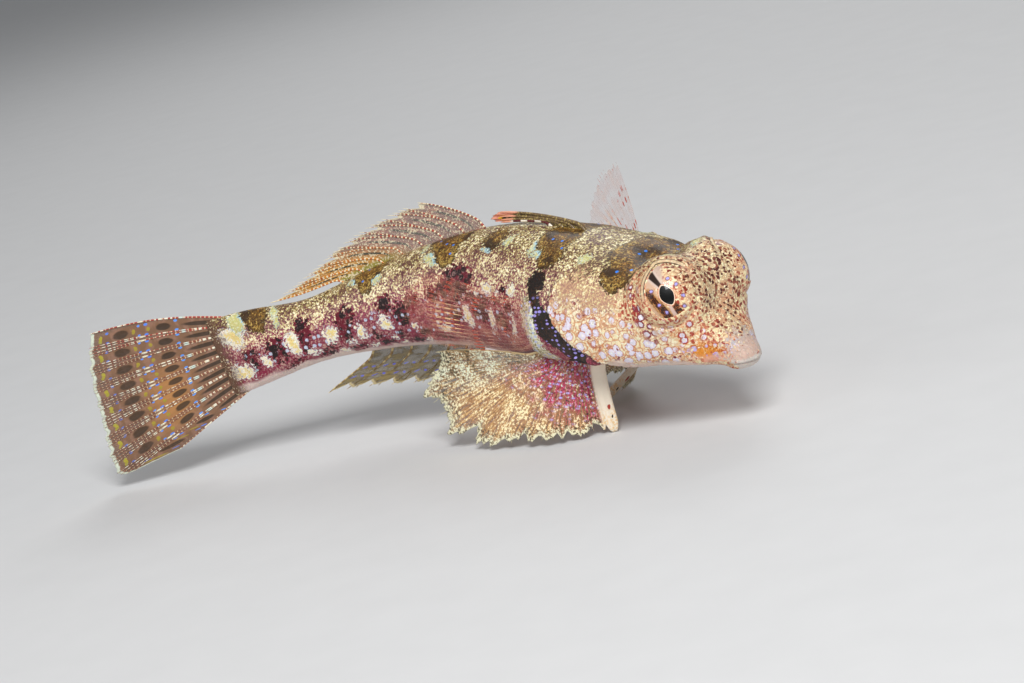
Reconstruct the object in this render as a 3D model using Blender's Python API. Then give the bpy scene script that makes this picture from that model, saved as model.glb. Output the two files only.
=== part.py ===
"""A moyers dragonet, a small reef fish, propped on its spread pelvic fins with its head low.

The body is a loft along a bent spine. Head, trunk and tail stalk are lengths of that one loft,
the eyes sit in sockets cut in the head, and each fin is a sheet with its rays raised in it.
Shapes are worked out in millimetres and written in metres. +X is the head end, -Y the fish's
right side, +Z is up, and the floor is at height 0.
"""

import math

import bmesh
import bpy
import numpy as np
from mathutils import Matrix, Vector

MM = 0.001

# Driving sizes, in millimetres
STANDARD_LENGTH = 58.0
CAUDAL_LENGTH = 16.2
SHOULDER_HEIGHT = 10.9
GAP = 0.3
EYE_RADIUS = 2.9
MEMBRANE_HALF = 0.25
RAY_HEIGHT = 0.2

# Places along the body, as shares of the standard length
SNOUT = 0.024
SHOULDER = 0.36
HEAD_END = 0.305
TRUNK_END = 0.84
STALK_END = 1.02
EYE_SHARE = 0.132
SEAM_SLANT = 0.03

# Share of length, turn of the heading towards the right side, and rise towards the head, in degrees
SPINE_BENDS = (
    (0.00, 20, -14),
    (0.36, 17, -13),
    (0.50, 8, -7),
    (0.65, -1, 2),
    (0.80, -12, 6),
    (1.00, -19, 7),
    (1.40, -22, 9),
)

# Share of length, half width, height of the back above the spine line, depth of the belly below it
BODY_SECTIONS = (
    (0.03, 1.5, 1.4, 0.9),
    (0.05, 2.5, 2.5, 1.2),
    (0.08, 3.7, 3.8, 1.4),
    (0.115, 4.8, 4.8, 1.7),
    (0.17, 5.9, 5.6, 2.2),
    (0.25, 6.9, 6.6, 3.3),
    (0.34, 7.3, 6.9, 4.8),
    (0.42, 6.7, 6.6, 5.8),
    (0.52, 5.6, 6.1, 5.7),
    (0.64, 4.4, 5.2, 4.8),
    (0.78, 3.2, 4.1, 3.7),
    (0.90, 2.3, 3.3, 3.0),
    (1.00, 1.6, 4.2, 3.3),
    (1.05, 1.2, 4.5, 3.5),
)
BACK_POWER = 2.1
BELLY_POWER = 2.5

# Share of length, turn round the body, reach along it, reach round it in degrees, and height
SWELLINGS = (
    (0.21, 108, 0.06, 34, 0.5),
    (0.285, 98, 0.03, 40, 0.35),
    (0.365, 100, 0.03, 26, 0.5),
    (0.145, 50, 0.045, 32, 1.1),
    (0.235, 44, 0.06, 22, 0.75),
)

ROUND = 30

for old in list(bpy.data.objects):
    bpy.data.objects.remove(old)


def through(table, share, column):
    """A smooth curve through one column of a table, read at a share of the length."""
    shares = np.array([row[0] for row in table], float)
    values = np.array([row[column] for row in table], float)
    slopes = np.gradient(values, shares)
    left = np.clip(np.searchsorted(shares, share) - 1, 0, len(shares) - 2)
    width = shares[left + 1] - shares[left]
    t = (share - shares[left]) / width
    return (
        (2 * t**3 - 3 * t**2 + 1) * values[left]
        + (t**3 - 2 * t**2 + t) * width * slopes[left]
        + (3 * t**2 - 2 * t**3) * values[left + 1]
        + (t**3 - t**2) * width * slopes[left + 1]
    )


def heading(share):
    """The unit vector towards the head at a share of the length."""
    turn = np.radians(through(SPINE_BENDS, share, 1))
    rise = np.radians(through(SPINE_BENDS, share, 2))
    return np.stack(
        [np.cos(turn) * np.cos(rise), -np.sin(turn) * np.cos(rise), np.sin(rise)], axis=-1
    )


def lay_spine():
    """Shares and the points of the spine line there, with the shoulder over the origin."""
    shares = np.linspace(-0.05, 1.38, 573)
    ahead = heading(shares)
    steps = (ahead[1:] + ahead[:-1]) / 2 * (shares[1] - shares[0]) * STANDARD_LENGTH
    points = np.vstack([np.zeros(3), -np.cumsum(steps, axis=0)])
    shoulder = [np.interp(SHOULDER, shares, points[:, axis]) for axis in range(3)]
    return shares, points - shoulder + [0, 0, SHOULDER_HEIGHT]


SPINE_SHARES, SPINE_POINTS = lay_spine()


def frame_at(share):
    """The spine point at a share, and the unit vectors ahead, right and up there."""
    point = np.array([np.interp(share, SPINE_SHARES, SPINE_POINTS[:, axis]) for axis in range(3)])
    ahead = heading(share)
    turn = np.radians(through(SPINE_BENDS, share, 1))
    right = np.array([-math.sin(turn), -math.cos(turn), 0.0])
    return point, ahead, right, np.cross(right, ahead)


def swelling(share, turn):
    """How far the cheeks, gill covers, fin bases and nape stand out of the plain section."""
    height = 0.0
    for at_share, at_turn, reach, turn_reach, tall in SWELLINGS:
        for side in (1, -1):
            away = (turn - side * at_turn + 180) % 360 - 180
            height += tall * math.exp(-(((share - at_share) / reach) ** 2) - (away / turn_reach) ** 2)
    return height


def skin_point(share, turn, lift=0.0):
    """A point of the body's surface: turn 0 is the back, 90 the right side, 180 the belly."""
    point, _, right, up = frame_at(share)
    width = through(BODY_SECTIONS, share, 1)
    across = math.sin(math.radians(turn))
    along = math.cos(math.radians(turn))
    tall = through(BODY_SECTIONS, share, 2 if along > 0 else 3)
    power = 2 / (BACK_POWER if along > 0 else BELLY_POWER)
    side = width * math.copysign(abs(across) ** power, across)
    high = tall * math.copysign(abs(along) ** power, along)
    out = np.array([side / width**2, high / tall**2])
    out /= np.linalg.norm(out)
    side, high = np.array([side, high]) + out * (lift + swelling(share, turn))
    return point + right * side + up * high


def skin_normal(share, turn):
    """The unit vector out of the body's surface."""
    normal = skin_point(share, turn, 1.0) - skin_point(share, turn, 0.0)
    return normal / np.linalg.norm(normal)


def material(name, colour, roughness):
    """A plain finish in one colour."""
    finish = bpy.data.materials.new(name)
    finish.use_nodes = True
    shader = finish.node_tree.nodes["Principled BSDF"]
    shader.inputs["Base Color"].default_value = (*colour, 1)
    shader.inputs["Roughness"].default_value = roughness
    shader.inputs["Metallic"].default_value = 0
    return finish


SKIN = material("mottled skin", (0.52, 0.30, 0.24), 0.45)
EYE = material("wet eye", (0.36, 0.20, 0.16), 0.15)
RED_FIN = material("red banded fin", (0.42, 0.16, 0.08), 0.4)
TAIL_FIN = material("spotted tail fin", (0.55, 0.30, 0.20), 0.4)
CLEAR_FIN = material("clear fin", (0.50, 0.26, 0.18), 0.35)
CREAM_FIN = material("cream fin", (0.66, 0.52, 0.32), 0.45)


def add_object(name, bm, finish):
    """Turns millimetres to metres, and links the finished mesh as an object."""
    bmesh.ops.recalc_face_normals(bm, faces=bm.faces)
    bmesh.ops.triangulate(bm, faces=bm.faces)
    bmesh.ops.scale(bm, vec=(MM, MM, MM), verts=bm.verts)
    mesh = bpy.data.meshes.new(name)
    bm.to_mesh(mesh)
    bm.free()
    mesh.materials.append(finish)
    mesh.shade_smooth()
    piece = bpy.data.objects.new(name, mesh)
    bpy.context.scene.collection.objects.link(piece)
    return piece


def loft(name, rings, finish, joined=False):
    """A closed surface through rings of points. Its ends are fans, or the last ring joins the first."""
    bm = bmesh.new()
    loops = [[bm.verts.new(point) for point in ring] for ring in rings]
    pairs = list(zip(loops, loops[1:]))
    if joined:
        pairs.append((loops[-1], loops[0]))
    for here, there in pairs:
        for i in range(len(here)):
            j = (i + 1) % len(here)
            bm.faces.new((here[i], here[j], there[j], there[i]))
    if not joined:
        for loop, ring in ((loops[0], rings[0]), (loops[-1], rings[-1])):
            middle = bm.verts.new(np.mean(ring, axis=0))
            for i in range(len(loop)):
                bm.faces.new((loop[i], loop[(i + 1) % len(loop)], middle))
    return add_object(name, bm, finish)


def body_length(name, shares, slants, finish):
    """A length of the body, whose end faces lean by their slant."""
    rings = []
    for share, slant in zip(shares, slants):
        turns = [360 * i / ROUND for i in range(ROUND)]
        rings.append([skin_point(share + slant * math.cos(math.radians(t)), t) for t in turns])
    return loft(name, rings, finish)


def tube(name, points, radii, sides, finish, joined=False):
    """A round tube along points, with its own radius at each."""
    points = np.array(points, float)
    count = len(points)
    rings = []
    for i in range(count):
        before = points[(i - 1) % count] if joined else points[max(i - 1, 0)]
        after = points[(i + 1) % count] if joined else points[min(i + 1, count - 1)]
        along = (after - before) / np.linalg.norm(after - before)
        first = np.cross(along, [0.03, 0.02, 1.0])
        first /= np.linalg.norm(first)
        second = np.cross(along, first)
        angles = [2 * math.pi * k / sides for k in range(sides)]
        ring = [points[i] + radii[i] * (first * math.cos(a) + second * math.sin(a)) for a in angles]
        rings.append(ring)
    return loft(name, rings, finish, joined)


def ball(name, centre, axis, radius, depth, around, finish):
    """A ball flattened along its axis, with its poles on that axis."""
    bm = bmesh.new()
    bmesh.ops.create_uvsphere(bm, u_segments=around, v_segments=around // 2, radius=1.0)
    turn = Vector(axis).to_track_quat("Z", "Y").to_matrix().to_4x4()
    size = Matrix.Diagonal((radius, radius, depth, 1))
    bmesh.ops.transform(bm, matrix=Matrix.Translation(Vector(centre)) @ turn @ size, verts=bm.verts)
    return add_object(name, bm, finish)


def largest_surface(mesh):
    """Keeps the closed surface that holds the most space."""
    bm = bmesh.new()
    bm.from_mesh(mesh)
    left = set(bm.faces)
    groups = []
    while left:
        group = set()
        queue = [left.pop()]
        while queue:
            face = queue.pop()
            group.add(face)
            for edge in face.edges:
                for other in edge.link_faces:
                    if other in left:
                        left.remove(other)
                        queue.append(other)
        groups.append(group)

    def space(group):
        total = 0.0
        for face in group:
            a = face.verts[0].co
            for one, two in zip(face.verts[1:], face.verts[2:]):
                total += a.dot(one.co.cross(two.co))
        return total

    keep = max(groups, key=space)
    loose = [face for face in bm.faces if face not in keep]
    bmesh.ops.delete(bm, geom=loose, context="FACES")
    bmesh.ops.triangulate(bm, faces=bm.faces)
    bm.to_mesh(mesh)
    bm.free()


def fuse(base, others, operation):
    """Joins other pieces to the base, or cuts them from it, and removes them."""
    group = bpy.data.collections.new(base.name + " " + operation.lower())
    bpy.context.scene.collection.children.link(group)
    for other in others:
        bpy.context.scene.collection.objects.unlink(other)
        group.objects.link(other)
    boolean = base.modifiers.new(operation, "BOOLEAN")
    boolean.operation = operation
    boolean.operand_type = "COLLECTION"
    boolean.collection = group
    boolean.solver = "EXACT"
    bpy.context.view_layer.update()
    graph = bpy.context.evaluated_depsgraph_get()
    mesh = bpy.data.meshes.new_from_object(base.evaluated_get(graph))
    base.modifiers.remove(boolean)
    base.data = mesh
    mesh.name = base.name
    for other in others:
        bpy.data.objects.remove(other)
    bpy.data.collections.remove(group)
    largest_surface(mesh)


def eye_place(side):
    """Centre and outward axis of an eye. Side is 1 for the right eye and -1 for the left."""
    point, ahead, right, up = frame_at(EYE_SHARE)
    centre = point + right * side * 3.25 + up * 4.9
    axis = ahead * 0.5 + right * side * 0.75 + up * 0.43
    return centre, axis / np.linalg.norm(axis)


# Height along the eye's axis and reach past the eyeball's radius, from deep in the head to the rim
ORBIT_PROFILE = (
    (-3.2, 0.2),
    (-2.4, 0.8),
    (-1.4, 1.05),
    (-0.5, 1.0),
    (0.2, 0.85),
    (0.7, 0.65),
    (1.0, 0.42),
    (1.1, 0.2),
)


def orbit(side):
    """The mound that carries an eye. It ends in a low rim of skin round the eyeball."""
    centre, axis = eye_place(side)
    _, ahead, _, _ = frame_at(EYE_SHARE)
    across = np.cross(axis, ahead)
    across /= np.linalg.norm(across)
    level = np.cross(across, axis)
    rings = []
    for deep, wide in ORBIT_PROFILE:
        ring = []
        for k in range(26):
            angle = 2 * math.pi * k / 26
            out = level * math.cos(angle) + across * math.sin(angle)
            ring.append(centre + axis * deep + out * (EYE_RADIUS + wide))
        rings.append(ring)
    return loft("orbit", rings, SKIN)


def lip(low, reach, half_width, thick):
    """One lip: a tapered tube bent round the front of the snout, at a height in its frame."""
    point, ahead, right, up = frame_at(0.042)
    points = []
    radii = []
    for k in range(11):
        angle = math.radians(-105 + 21 * k)
        drop = low - 0.35 * (1 - math.cos(angle))
        points.append(point + ahead * reach * math.cos(angle) + right * half_width * math.sin(angle) + up * drop)
        radii.append(thick * (0.55 + 0.45 * math.cos(angle / 1.3)))
    return tube("lip", points, radii, 8, SKIN)


def gill_spine(side):
    """The short spine that lies back over the gill cover."""
    places = [(0.215, 112, -0.5), (0.24, 111, 0.15), (0.265, 109, 0.3), (0.285, 107, 0.55)]
    points = [skin_point(share, side * turn, lift) for share, turn, lift in places]
    return tube("gill spine", points, [0.6, 0.5, 0.35, 0.12], 7, SKIN)


def nostril(side):
    """A short nostril tube in front of the eye."""
    points = [skin_point(0.088, side * 60, -0.5), skin_point(0.086, side * 60, 0.3)]
    return tube("nostril", points, [0.38, 0.26], 8, SKIN)


def make_head():
    """The head with its orbits, lips, nostrils and gill spines, and sockets for the eyes."""
    shares = [SNOUT + (HEAD_END - SNOUT) * (k / 15) ** 1.25 for k in range(16)]
    slants = [SEAM_SLANT * max(0.0, share / HEAD_END) ** 2 for share in shares]
    head = body_length("head", shares, slants, SKIN)
    pieces = [lip(0.05, 1.5, 1.5, 0.62), lip(-1.0, 1.25, 1.3, 0.55)]
    for side in (1, -1):
        pieces += [orbit(side), gill_spine(side), nostril(side)]
    fuse(head, pieces, "UNION")
    sockets = []
    for side in (1, -1):
        centre, axis = eye_place(side)
        sockets.append(ball("socket", centre, axis, EYE_RADIUS + GAP, EYE_RADIUS * 0.86 + GAP, 20, SKIN))
    fuse(head, sockets, "DIFFERENCE")
    return head


def make_eye(name, side):
    """An eyeball, flattened a little along its axis."""
    centre, axis = eye_place(side)
    return ball(name, centre, axis, EYE_RADIUS, EYE_RADIUS * 0.86, 20, EYE)


def make_trunk():
    """The trunk, from the slanted seam behind the gill covers to the tail stalk."""
    start = HEAD_END + GAP / STANDARD_LENGTH
    shares = np.linspace(start, TRUNK_END, 20)
    slants = [SEAM_SLANT * max(0.0, 1 - (share - start) / 0.15) for share in shares]
    return body_length("torso", shares, slants, SKIN)


def make_stalk():
    """The tail stalk, rounded off where the tail fin meets it."""
    start = TRUNK_END + GAP / STANDARD_LENGTH
    shares = np.linspace(start, STALK_END, 8)
    return body_length("tail", shares, [0.0] * 8, SKIN)


def fin_sheet(name, rays, finish, root_normals, notch=0.12, half=MEMBRANE_HALF, ridge=RAY_HEIGHT,
              sideways=None):
    """A fin: a thin sheet whose rays are crests on both faces, with a notch between ray tips.

    Rays is an array of rays, rows and places. Each root row is set flat on the surface that
    carries it, whose outward vectors are the root normals. Sideways is one direction in which the
    whole sheet is thick, for rays that lie so close that their own sheet gives no steady one.
    """
    rays = np.array(rays, float)
    count, rows, _ = rays.shape
    t = np.linspace(0, 1, rows)

    def sampled(ray, stretch):
        return np.stack([np.interp(t * stretch, t, ray[:, axis]) for axis in range(3)], axis=1)

    columns = []
    crests = []
    normals = []
    for i in range(count):
        columns.append(rays[i])
        crests.append(1.0)
        normals.append(root_normals[i])
        if i == count - 1:
            break
        span = np.linalg.norm(rays[i + 1] - rays[i], axis=1)
        foot = np.clip(0.45 / np.maximum(span, 0.01), 0.12, 0.33)[:, None]
        near, far = sampled(rays[i], 1 - notch * 0.35), sampled(rays[i + 1], 1 - notch * 0.35)
        near_mid, far_mid = sampled(rays[i], 1 - notch), sampled(rays[i + 1], 1 - notch)
        for place in (near + (far - near) * foot, (near_mid + far_mid) / 2, far + (near - far) * foot):
            columns.append(place)
            crests.append(0.0)
            normals.append((root_normals[i] + root_normals[i + 1]) / 2)
    sheet = np.array(columns)
    crests = np.array(crests)[:, None]
    across = np.gradient(sheet, axis=0)
    along = np.gradient(sheet, axis=1)
    face = np.cross(across, along)
    face /= np.maximum(np.linalg.norm(face, axis=2, keepdims=True), 1e-9)
    if sideways is not None:
        face[:] = sideways
    roots = np.array(normals)
    roots /= np.linalg.norm(roots, axis=1, keepdims=True)
    flat = face[:, 0] - roots * np.sum(face[:, 0] * roots, axis=1, keepdims=True)
    face[:, 0] = flat / np.linalg.norm(flat, axis=1, keepdims=True)
    thick = half * (1 - 0.25 * t[None, :] ** 3) + ridge * crests * (1 - 0.55 * t[None, :])
    thick = thick[:, :, None]
    sheet[:, :, 2] = np.maximum(sheet[:, :, 2], np.abs(face[:, :, 2]) * thick[:, :, 0])
    upper, lower = sheet + face * thick, sheet - face * thick
    upper[:, :, 2] = np.maximum(upper[:, :, 2], 0.0)
    lower[:, :, 2] = np.maximum(lower[:, :, 2], 0.0)
    bm = bmesh.new()
    tops = [[bm.verts.new(point) for point in column] for column in upper]
    bases = [[bm.verts.new(point) for point in column] for column in lower]
    last_column, last_row = len(tops) - 1, rows - 1
    for i in range(last_column):
        for k in range(last_row):
            for grid in (tops, bases):
                a, b, c, d = grid[i][k], grid[i + 1][k], grid[i + 1][k + 1], grid[i][k + 1]
                bm.faces.new((a, b, c))
                bm.faces.new((a, c, d))
    rim = [(i, 0) for i in range(last_column)]
    rim += [(last_column, k) for k in range(last_row)]
    rim += [(i, last_row) for i in range(last_column, 0, -1)]
    rim += [(0, k) for k in range(last_row, 0, -1)]
    for (i, k), (j, m) in zip(rim, rim[1:] + rim[:1]):
        bm.faces.new((tops[i][k], tops[j][m], bases[j][m], bases[i][k]))
    return add_object(name, bm, finish)


def upright_ray(base, turn, length, angle, rows, sag=0.0):
    """A ray of a fin on the back or belly, leaning back from its base over the skin there."""
    points = []
    for k in range(rows):
        run = length * k / (rows - 1)
        lean = math.radians(angle - sag * k / (rows - 1))
        lift = GAP + run * math.sin(lean)
        points.append(skin_point(base + run * math.cos(lean) / STANDARD_LENGTH, turn, lift))
    return points


def make_first_dorsal():
    """Four spines folded back along the nape, with the membrane between them."""
    rays = []
    normals = []
    for i in range(4):
        base = 0.355 + 0.022 * i
        rays.append(upright_ray(base, 0, 11.4 - 1.5 * i, 7.6 - 1.9 * i, 9, 2))
        normals.append(skin_normal(base, 0))
    return fin_sheet("first_dorsal_fin", rays, RED_FIN, normals, sideways=frame_at(0.45)[2])


def make_second_dorsal():
    """Eight soft rays, the first ones raised and the last ones lying along the back."""
    rays = []
    normals = []
    for i in range(8):
        part = i / 7
        base = 0.548 + 0.267 * part
        angle = 39 - 31 * part**1.8
        rays.append(upright_ray(base, 0, 7.2 + 0.9 * part, angle, 9, 8))
        normals.append(skin_normal(base, 0))
    return fin_sheet("second_dorsal_fin", rays, RED_FIN, normals, notch=0.16)


def make_anal():
    """Seven soft rays under the belly, leaning back."""
    rays = []
    normals = []
    for i in range(7):
        part = i / 6
        base = 0.60 + 0.21 * part
        angle = 46 - 16 * part
        rays.append(upright_ray(base, 180, 6.0 + 1.0 * part, angle, 8, 6))
        normals.append(skin_normal(base, 180))
    return fin_sheet("anal_fin", rays, RED_FIN, normals, notch=0.2)


def make_caudal():
    """Ten rays fanned from the end of the tail stalk, held just clear of the floor."""
    rays = []
    normals = []
    rows = 12
    for i in range(10):
        part = 1 - 2 * i / 9
        angle = math.radians(15.5 * part - 3.5 + 1.5 * max(0.0, part) ** 3)
        high, low = max(0.0, part), max(0.0, -part)
        bow = 0.7 * high**2
        length = CAUDAL_LENGTH * (1.05 - 0.13 * high**1.5 + 0.16 * low - 0.5 * low**9)
        points = []
        for k in range(rows):
            run = length * k / (rows - 1)
            share = STALK_END + (GAP + run * math.cos(angle)) / STANDARD_LENGTH
            point, _, _, up = frame_at(share)
            rise = run * math.sin(angle) + bow * math.sin(math.pi * k / (rows - 1))
            points.append(point + up * (0.5 + 3.4 * part + rise))
        rays.append(points)
        normals.append(-heading(STALK_END))
    return fin_sheet("caudal_fin", rays, TAIL_FIN, normals, notch=0.07)


def make_pectoral(name, side, fan_high, fan_low, splay_high, splay_low, length):
    """A paddle of rays from the upright base behind the gill cover.

    The fan runs from its upper ray to its lower one, each with a rise above the body's line
    and a splay away from the flank, in degrees.
    """
    _, ahead, right, up = frame_at(SHOULDER)
    rays = []
    normals = []
    count, rows = 11, 9
    for i in range(count):
        part = i / (count - 1)
        turn = side * (74 + 34 * part)
        base = 0.362 + 0.012 * math.sin(math.pi * part)
        rise = math.radians(fan_high + (fan_low - fan_high) * part)
        splay = math.radians(splay_high + (splay_low - splay_high) * part)
        reach = length * (1 - 0.22 * abs(2 * part - 0.9) ** 2)
        aim = (
            -ahead * math.cos(rise) * math.cos(splay)
            + right * side * math.sin(splay)
            + up * math.sin(rise) * math.cos(splay)
        )
        root = skin_point(base, turn, GAP)
        bend = right * -side * 0.06 * length
        points = []
        for k in range(rows):
            run = k / (rows - 1)
            points.append(root + aim * reach * run + bend * run**2)
        rays.append(points)
        normals.append(skin_normal(base, turn))
    return fin_sheet(name, rays, CLEAR_FIN, normals, notch=0.06, ridge=0.15)


# Forward and outward place of each pelvic ray's tip from below the shoulder, and its height
PELVIC_TIPS = (
    (4.3, 4.4, 0.0),
    (3.3, 5.2, 0.0),
    (2.0, 6.8, 0.0),
    (-0.8, 9.1, 0.0),
    (-7.6, 10.3, 0.1),
    (-13.8, 9.8, 1.4),
    (-16.4, 8.8, 5.2),
    (-14.4, 8.2, 8.8),
)


def make_pelvic(name, side, back):
    """A broad fin spread from the throat to the floor: a stout blunt spine and soft rays behind it.

    The first two rays are the edges of the spine, and the last is the edge of the skin that joins
    the fin to the flank. Back is how far the fin is swept back.
    """
    floor_turn = math.radians(through(SPINE_BENDS, SHOULDER, 1))
    ahead = np.array([math.cos(floor_turn), -math.sin(floor_turn), 0.0])
    right = np.array([-math.sin(floor_turn), -math.cos(floor_turn), 0.0])
    rays = []
    normals = []
    rows = 9
    for i, (forward, outward, height) in enumerate(PELVIC_TIPS):
        part = i / (len(PELVIC_TIPS) - 1)
        base = 0.268 + 0.102 * math.sin(math.pi / 2 * part)
        turn = side * (150 - 33 * part**1.4)
        root = skin_point(base, turn, GAP)
        sweep = back * (1 - part)
        tip = ahead * (forward - sweep) + right * side * (outward - 0.3 * sweep) + np.array([0, 0, height])
        knee = root + (tip - root) * 0.45 + (right * side * 0.6 + np.array([0, 0, 0.9])) * (0.3 + part)
        points = []
        for k in range(rows):
            t = k / (rows - 1)
            points.append(root * (1 - t) ** 2 + knee * 2 * t * (1 - t) + tip * t**2)
        rays.append(points)
        normals.append(skin_normal(base, turn))
    return fin_sheet(name, rays, CREAM_FIN, normals, notch=0.1)


def stand_on_origin(pieces):
    """Parents every piece to one empty, moved so that the middle of the base is the origin."""
    bpy.context.view_layer.update()
    corners = [piece.matrix_world @ Vector(corner) for piece in pieces for corner in piece.bound_box]
    low = [min(corner[axis] for corner in corners) for axis in range(3)]
    high = [max(corner[axis] for corner in corners) for axis in range(3)]
    fish = bpy.data.objects.new("dragonet", None)
    bpy.context.scene.collection.objects.link(fish)
    for piece in pieces:
        piece.parent = fish
    fish.location = (-(low[0] + high[0]) / 2, -(low[1] + high[1]) / 2, -low[2])
    bpy.context.view_layer.update()
    return fish


def make_fish():
    """All the pieces of the fish."""
    pieces = [make_head(), make_trunk(), make_stalk()]
    pieces += [make_eye("eye_right", 1), make_eye("eye_left", -1)]
    pieces += [make_first_dorsal(), make_second_dorsal(), make_anal(), make_caudal()]
    pieces += [
        make_pectoral("pectoral_fin_right", 1, 9, -5, 15, 18, 14.0),
        make_pectoral("pectoral_fin_left", -1, 34, -22, 34, 24, 14.5),
    ]
    pieces += [make_pelvic("pelvic_fin_right", 1, 0.0), make_pelvic("pelvic_fin_left", -1, 9.0)]
    return stand_on_origin(pieces)


make_fish()
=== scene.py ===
"""The looks of a life-size moyers dragonet, a small mottled reef fish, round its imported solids.

The sections follow the fish as it is put together: the spine and the view of it, the skin, the
eyes, then each fin, and last the floor and the lights. Shapes are worked out in millimetres in
the frame of the fish's shoulder, and moved and turned to metres when a mesh is made.
"""

import itertools
import math

import bmesh
import bpy
import numpy as np
from mathutils import Matrix, Vector, noise
from mathutils.bvhtree import BVHTree


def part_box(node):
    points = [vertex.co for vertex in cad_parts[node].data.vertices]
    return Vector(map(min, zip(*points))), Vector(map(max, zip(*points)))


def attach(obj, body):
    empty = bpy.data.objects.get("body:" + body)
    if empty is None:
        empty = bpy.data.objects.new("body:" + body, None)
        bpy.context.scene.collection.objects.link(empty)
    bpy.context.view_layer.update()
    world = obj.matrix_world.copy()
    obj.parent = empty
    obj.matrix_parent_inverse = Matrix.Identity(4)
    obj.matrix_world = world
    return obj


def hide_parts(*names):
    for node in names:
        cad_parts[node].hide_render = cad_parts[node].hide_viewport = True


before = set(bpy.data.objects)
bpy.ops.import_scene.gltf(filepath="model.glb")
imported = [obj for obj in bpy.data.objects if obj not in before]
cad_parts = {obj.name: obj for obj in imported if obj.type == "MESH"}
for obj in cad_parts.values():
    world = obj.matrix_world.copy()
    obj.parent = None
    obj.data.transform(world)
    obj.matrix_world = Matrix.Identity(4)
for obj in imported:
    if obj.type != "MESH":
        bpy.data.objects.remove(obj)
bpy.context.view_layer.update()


# The spine and the view
# Everything on the fish is placed from one bent line, from the snout to the end of the tail.
# It gives a point, and the ways ahead, right and up there, for any share of the body's length.

STANDARD_LENGTH = 58.0
SHOULDER_HEIGHT = 10.9
SHOULDER = 0.36
MM = 0.001

# Share of length, turn of the heading to the right side and rise to the head, in degrees
SPINE_BENDS = (
    (0.00, 20, -14),
    (0.36, 17, -13),
    (0.50, 8, -7),
    (0.65, -1, 2),
    (0.80, -12, 6),
    (1.00, -19, 7),
    (1.40, -22, 9),
)


def through(table, share, column):
    """A smooth curve through one column of a table, read at shares of the length."""
    shares = np.array([row[0] for row in table], float)
    values = np.array([row[column] for row in table], float)
    slopes = np.gradient(values, shares)
    left = np.clip(np.searchsorted(shares, share) - 1, 0, len(shares) - 2)
    width = shares[left + 1] - shares[left]
    t = (share - shares[left]) / width
    return (
        (2 * t**3 - 3 * t**2 + 1) * values[left]
        + (t**3 - 2 * t**2 + t) * width * slopes[left]
        + (3 * t**2 - 2 * t**3) * values[left + 1]
        + (t**3 - t**2) * width * slopes[left + 1]
    )


def heading(share):
    """The unit vectors towards the head at shares of the length."""
    turn = np.radians(through(SPINE_BENDS, share, 1))
    rise = np.radians(through(SPINE_BENDS, share, 2))
    return np.stack(
        [np.cos(turn) * np.cos(rise), -np.sin(turn) * np.cos(rise), np.sin(rise)], axis=-1
    )


def lay_spine():
    """Shares and the points of the spine line there, with the shoulder over the origin."""
    shares = np.linspace(-0.05, 1.38, 573)
    ahead = heading(shares)
    steps = (ahead[1:] + ahead[:-1]) / 2 * (shares[1] - shares[0]) * STANDARD_LENGTH
    points = np.vstack([np.zeros(3), -np.cumsum(steps, axis=0)])
    shoulder = [np.interp(SHOULDER, shares, points[:, axis]) for axis in range(3)]
    return shares, points - shoulder + [0, 0, SHOULDER_HEIGHT]


SPINE_SHARES, SPINE_POINTS = lay_spine()


def frame_at(share):
    """The spine points at shares, and the unit vectors ahead, right and up there."""
    share = np.asarray(share, float)
    point = np.stack(
        [np.interp(share, SPINE_SHARES, SPINE_POINTS[:, axis]) for axis in range(3)], axis=-1
    )
    ahead = heading(share)
    turn = np.radians(through(SPINE_BENDS, share, 1))
    right = np.stack([-np.sin(turn), -np.cos(turn), np.zeros_like(turn)], axis=-1)
    return point, ahead, right, np.cross(right, ahead)


EYE_RADIUS = 2.9
EYE_SHARE = 0.132


def eye_place(side):
    """Centre and outward axis of an eye. Side is 1 for the right eye and -1 for the left."""
    point, ahead, right, up = frame_at(EYE_SHARE)
    centre = point + right * side * 3.25 + up * 4.9
    axis = ahead * 0.5 + right * side * 0.75 + up * 0.43
    return centre, axis / np.linalg.norm(axis)


eye_low, eye_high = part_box("eye_right")
SHIFT = np.array((eye_low + eye_high) / 2) / MM - eye_place(1)[0]

# The camera looks at the right side from ahead, a little from above, and leans with the fish
LENS = 105.0
SENSOR = 36.0
DISTANCE = 271.0
CAMERA_OUT = Vector((0.5217, -0.824, 0.2189)).normalized()
CAMERA_RIGHT = Vector((0.8466, 0.469, -0.2508))
CAMERA_RIGHT = (CAMERA_RIGHT - CAMERA_OUT * CAMERA_RIGHT.dot(CAMERA_OUT)).normalized()
CAMERA_UP = CAMERA_OUT.cross(CAMERA_RIGHT)
IMAGE_WIDTH = 1024
PIXELS_PER_MM = LENS / SENSOR * IMAGE_WIDTH / DISTANCE

# How far the shoulder lies right of and above the middle of the picture, in pixels
SHOULDER_RIGHT = 80
SHOULDER_ABOVE = 41.5

camera = bpy.data.objects.new("camera", bpy.data.cameras.new("camera"))
bpy.context.scene.collection.objects.link(camera)
camera.data.lens = LENS
camera.data.sensor_width = SENSOR
camera.data.clip_start = 0.01
camera.data.clip_end = 10
shoulder_point = Vector(frame_at(SHOULDER)[0])
middle = shoulder_point - CAMERA_RIGHT * (SHOULDER_RIGHT / PIXELS_PER_MM)
middle -= CAMERA_UP * (SHOULDER_ABOVE / PIXELS_PER_MM)
camera_place = (middle + CAMERA_OUT * DISTANCE + Vector(SHIFT)) * MM
camera_turn = Matrix((CAMERA_RIGHT, CAMERA_UP, CAMERA_OUT)).transposed().to_4x4()
camera.matrix_world = Matrix.Translation(camera_place) @ camera_turn
bpy.context.scene.camera = camera


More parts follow.
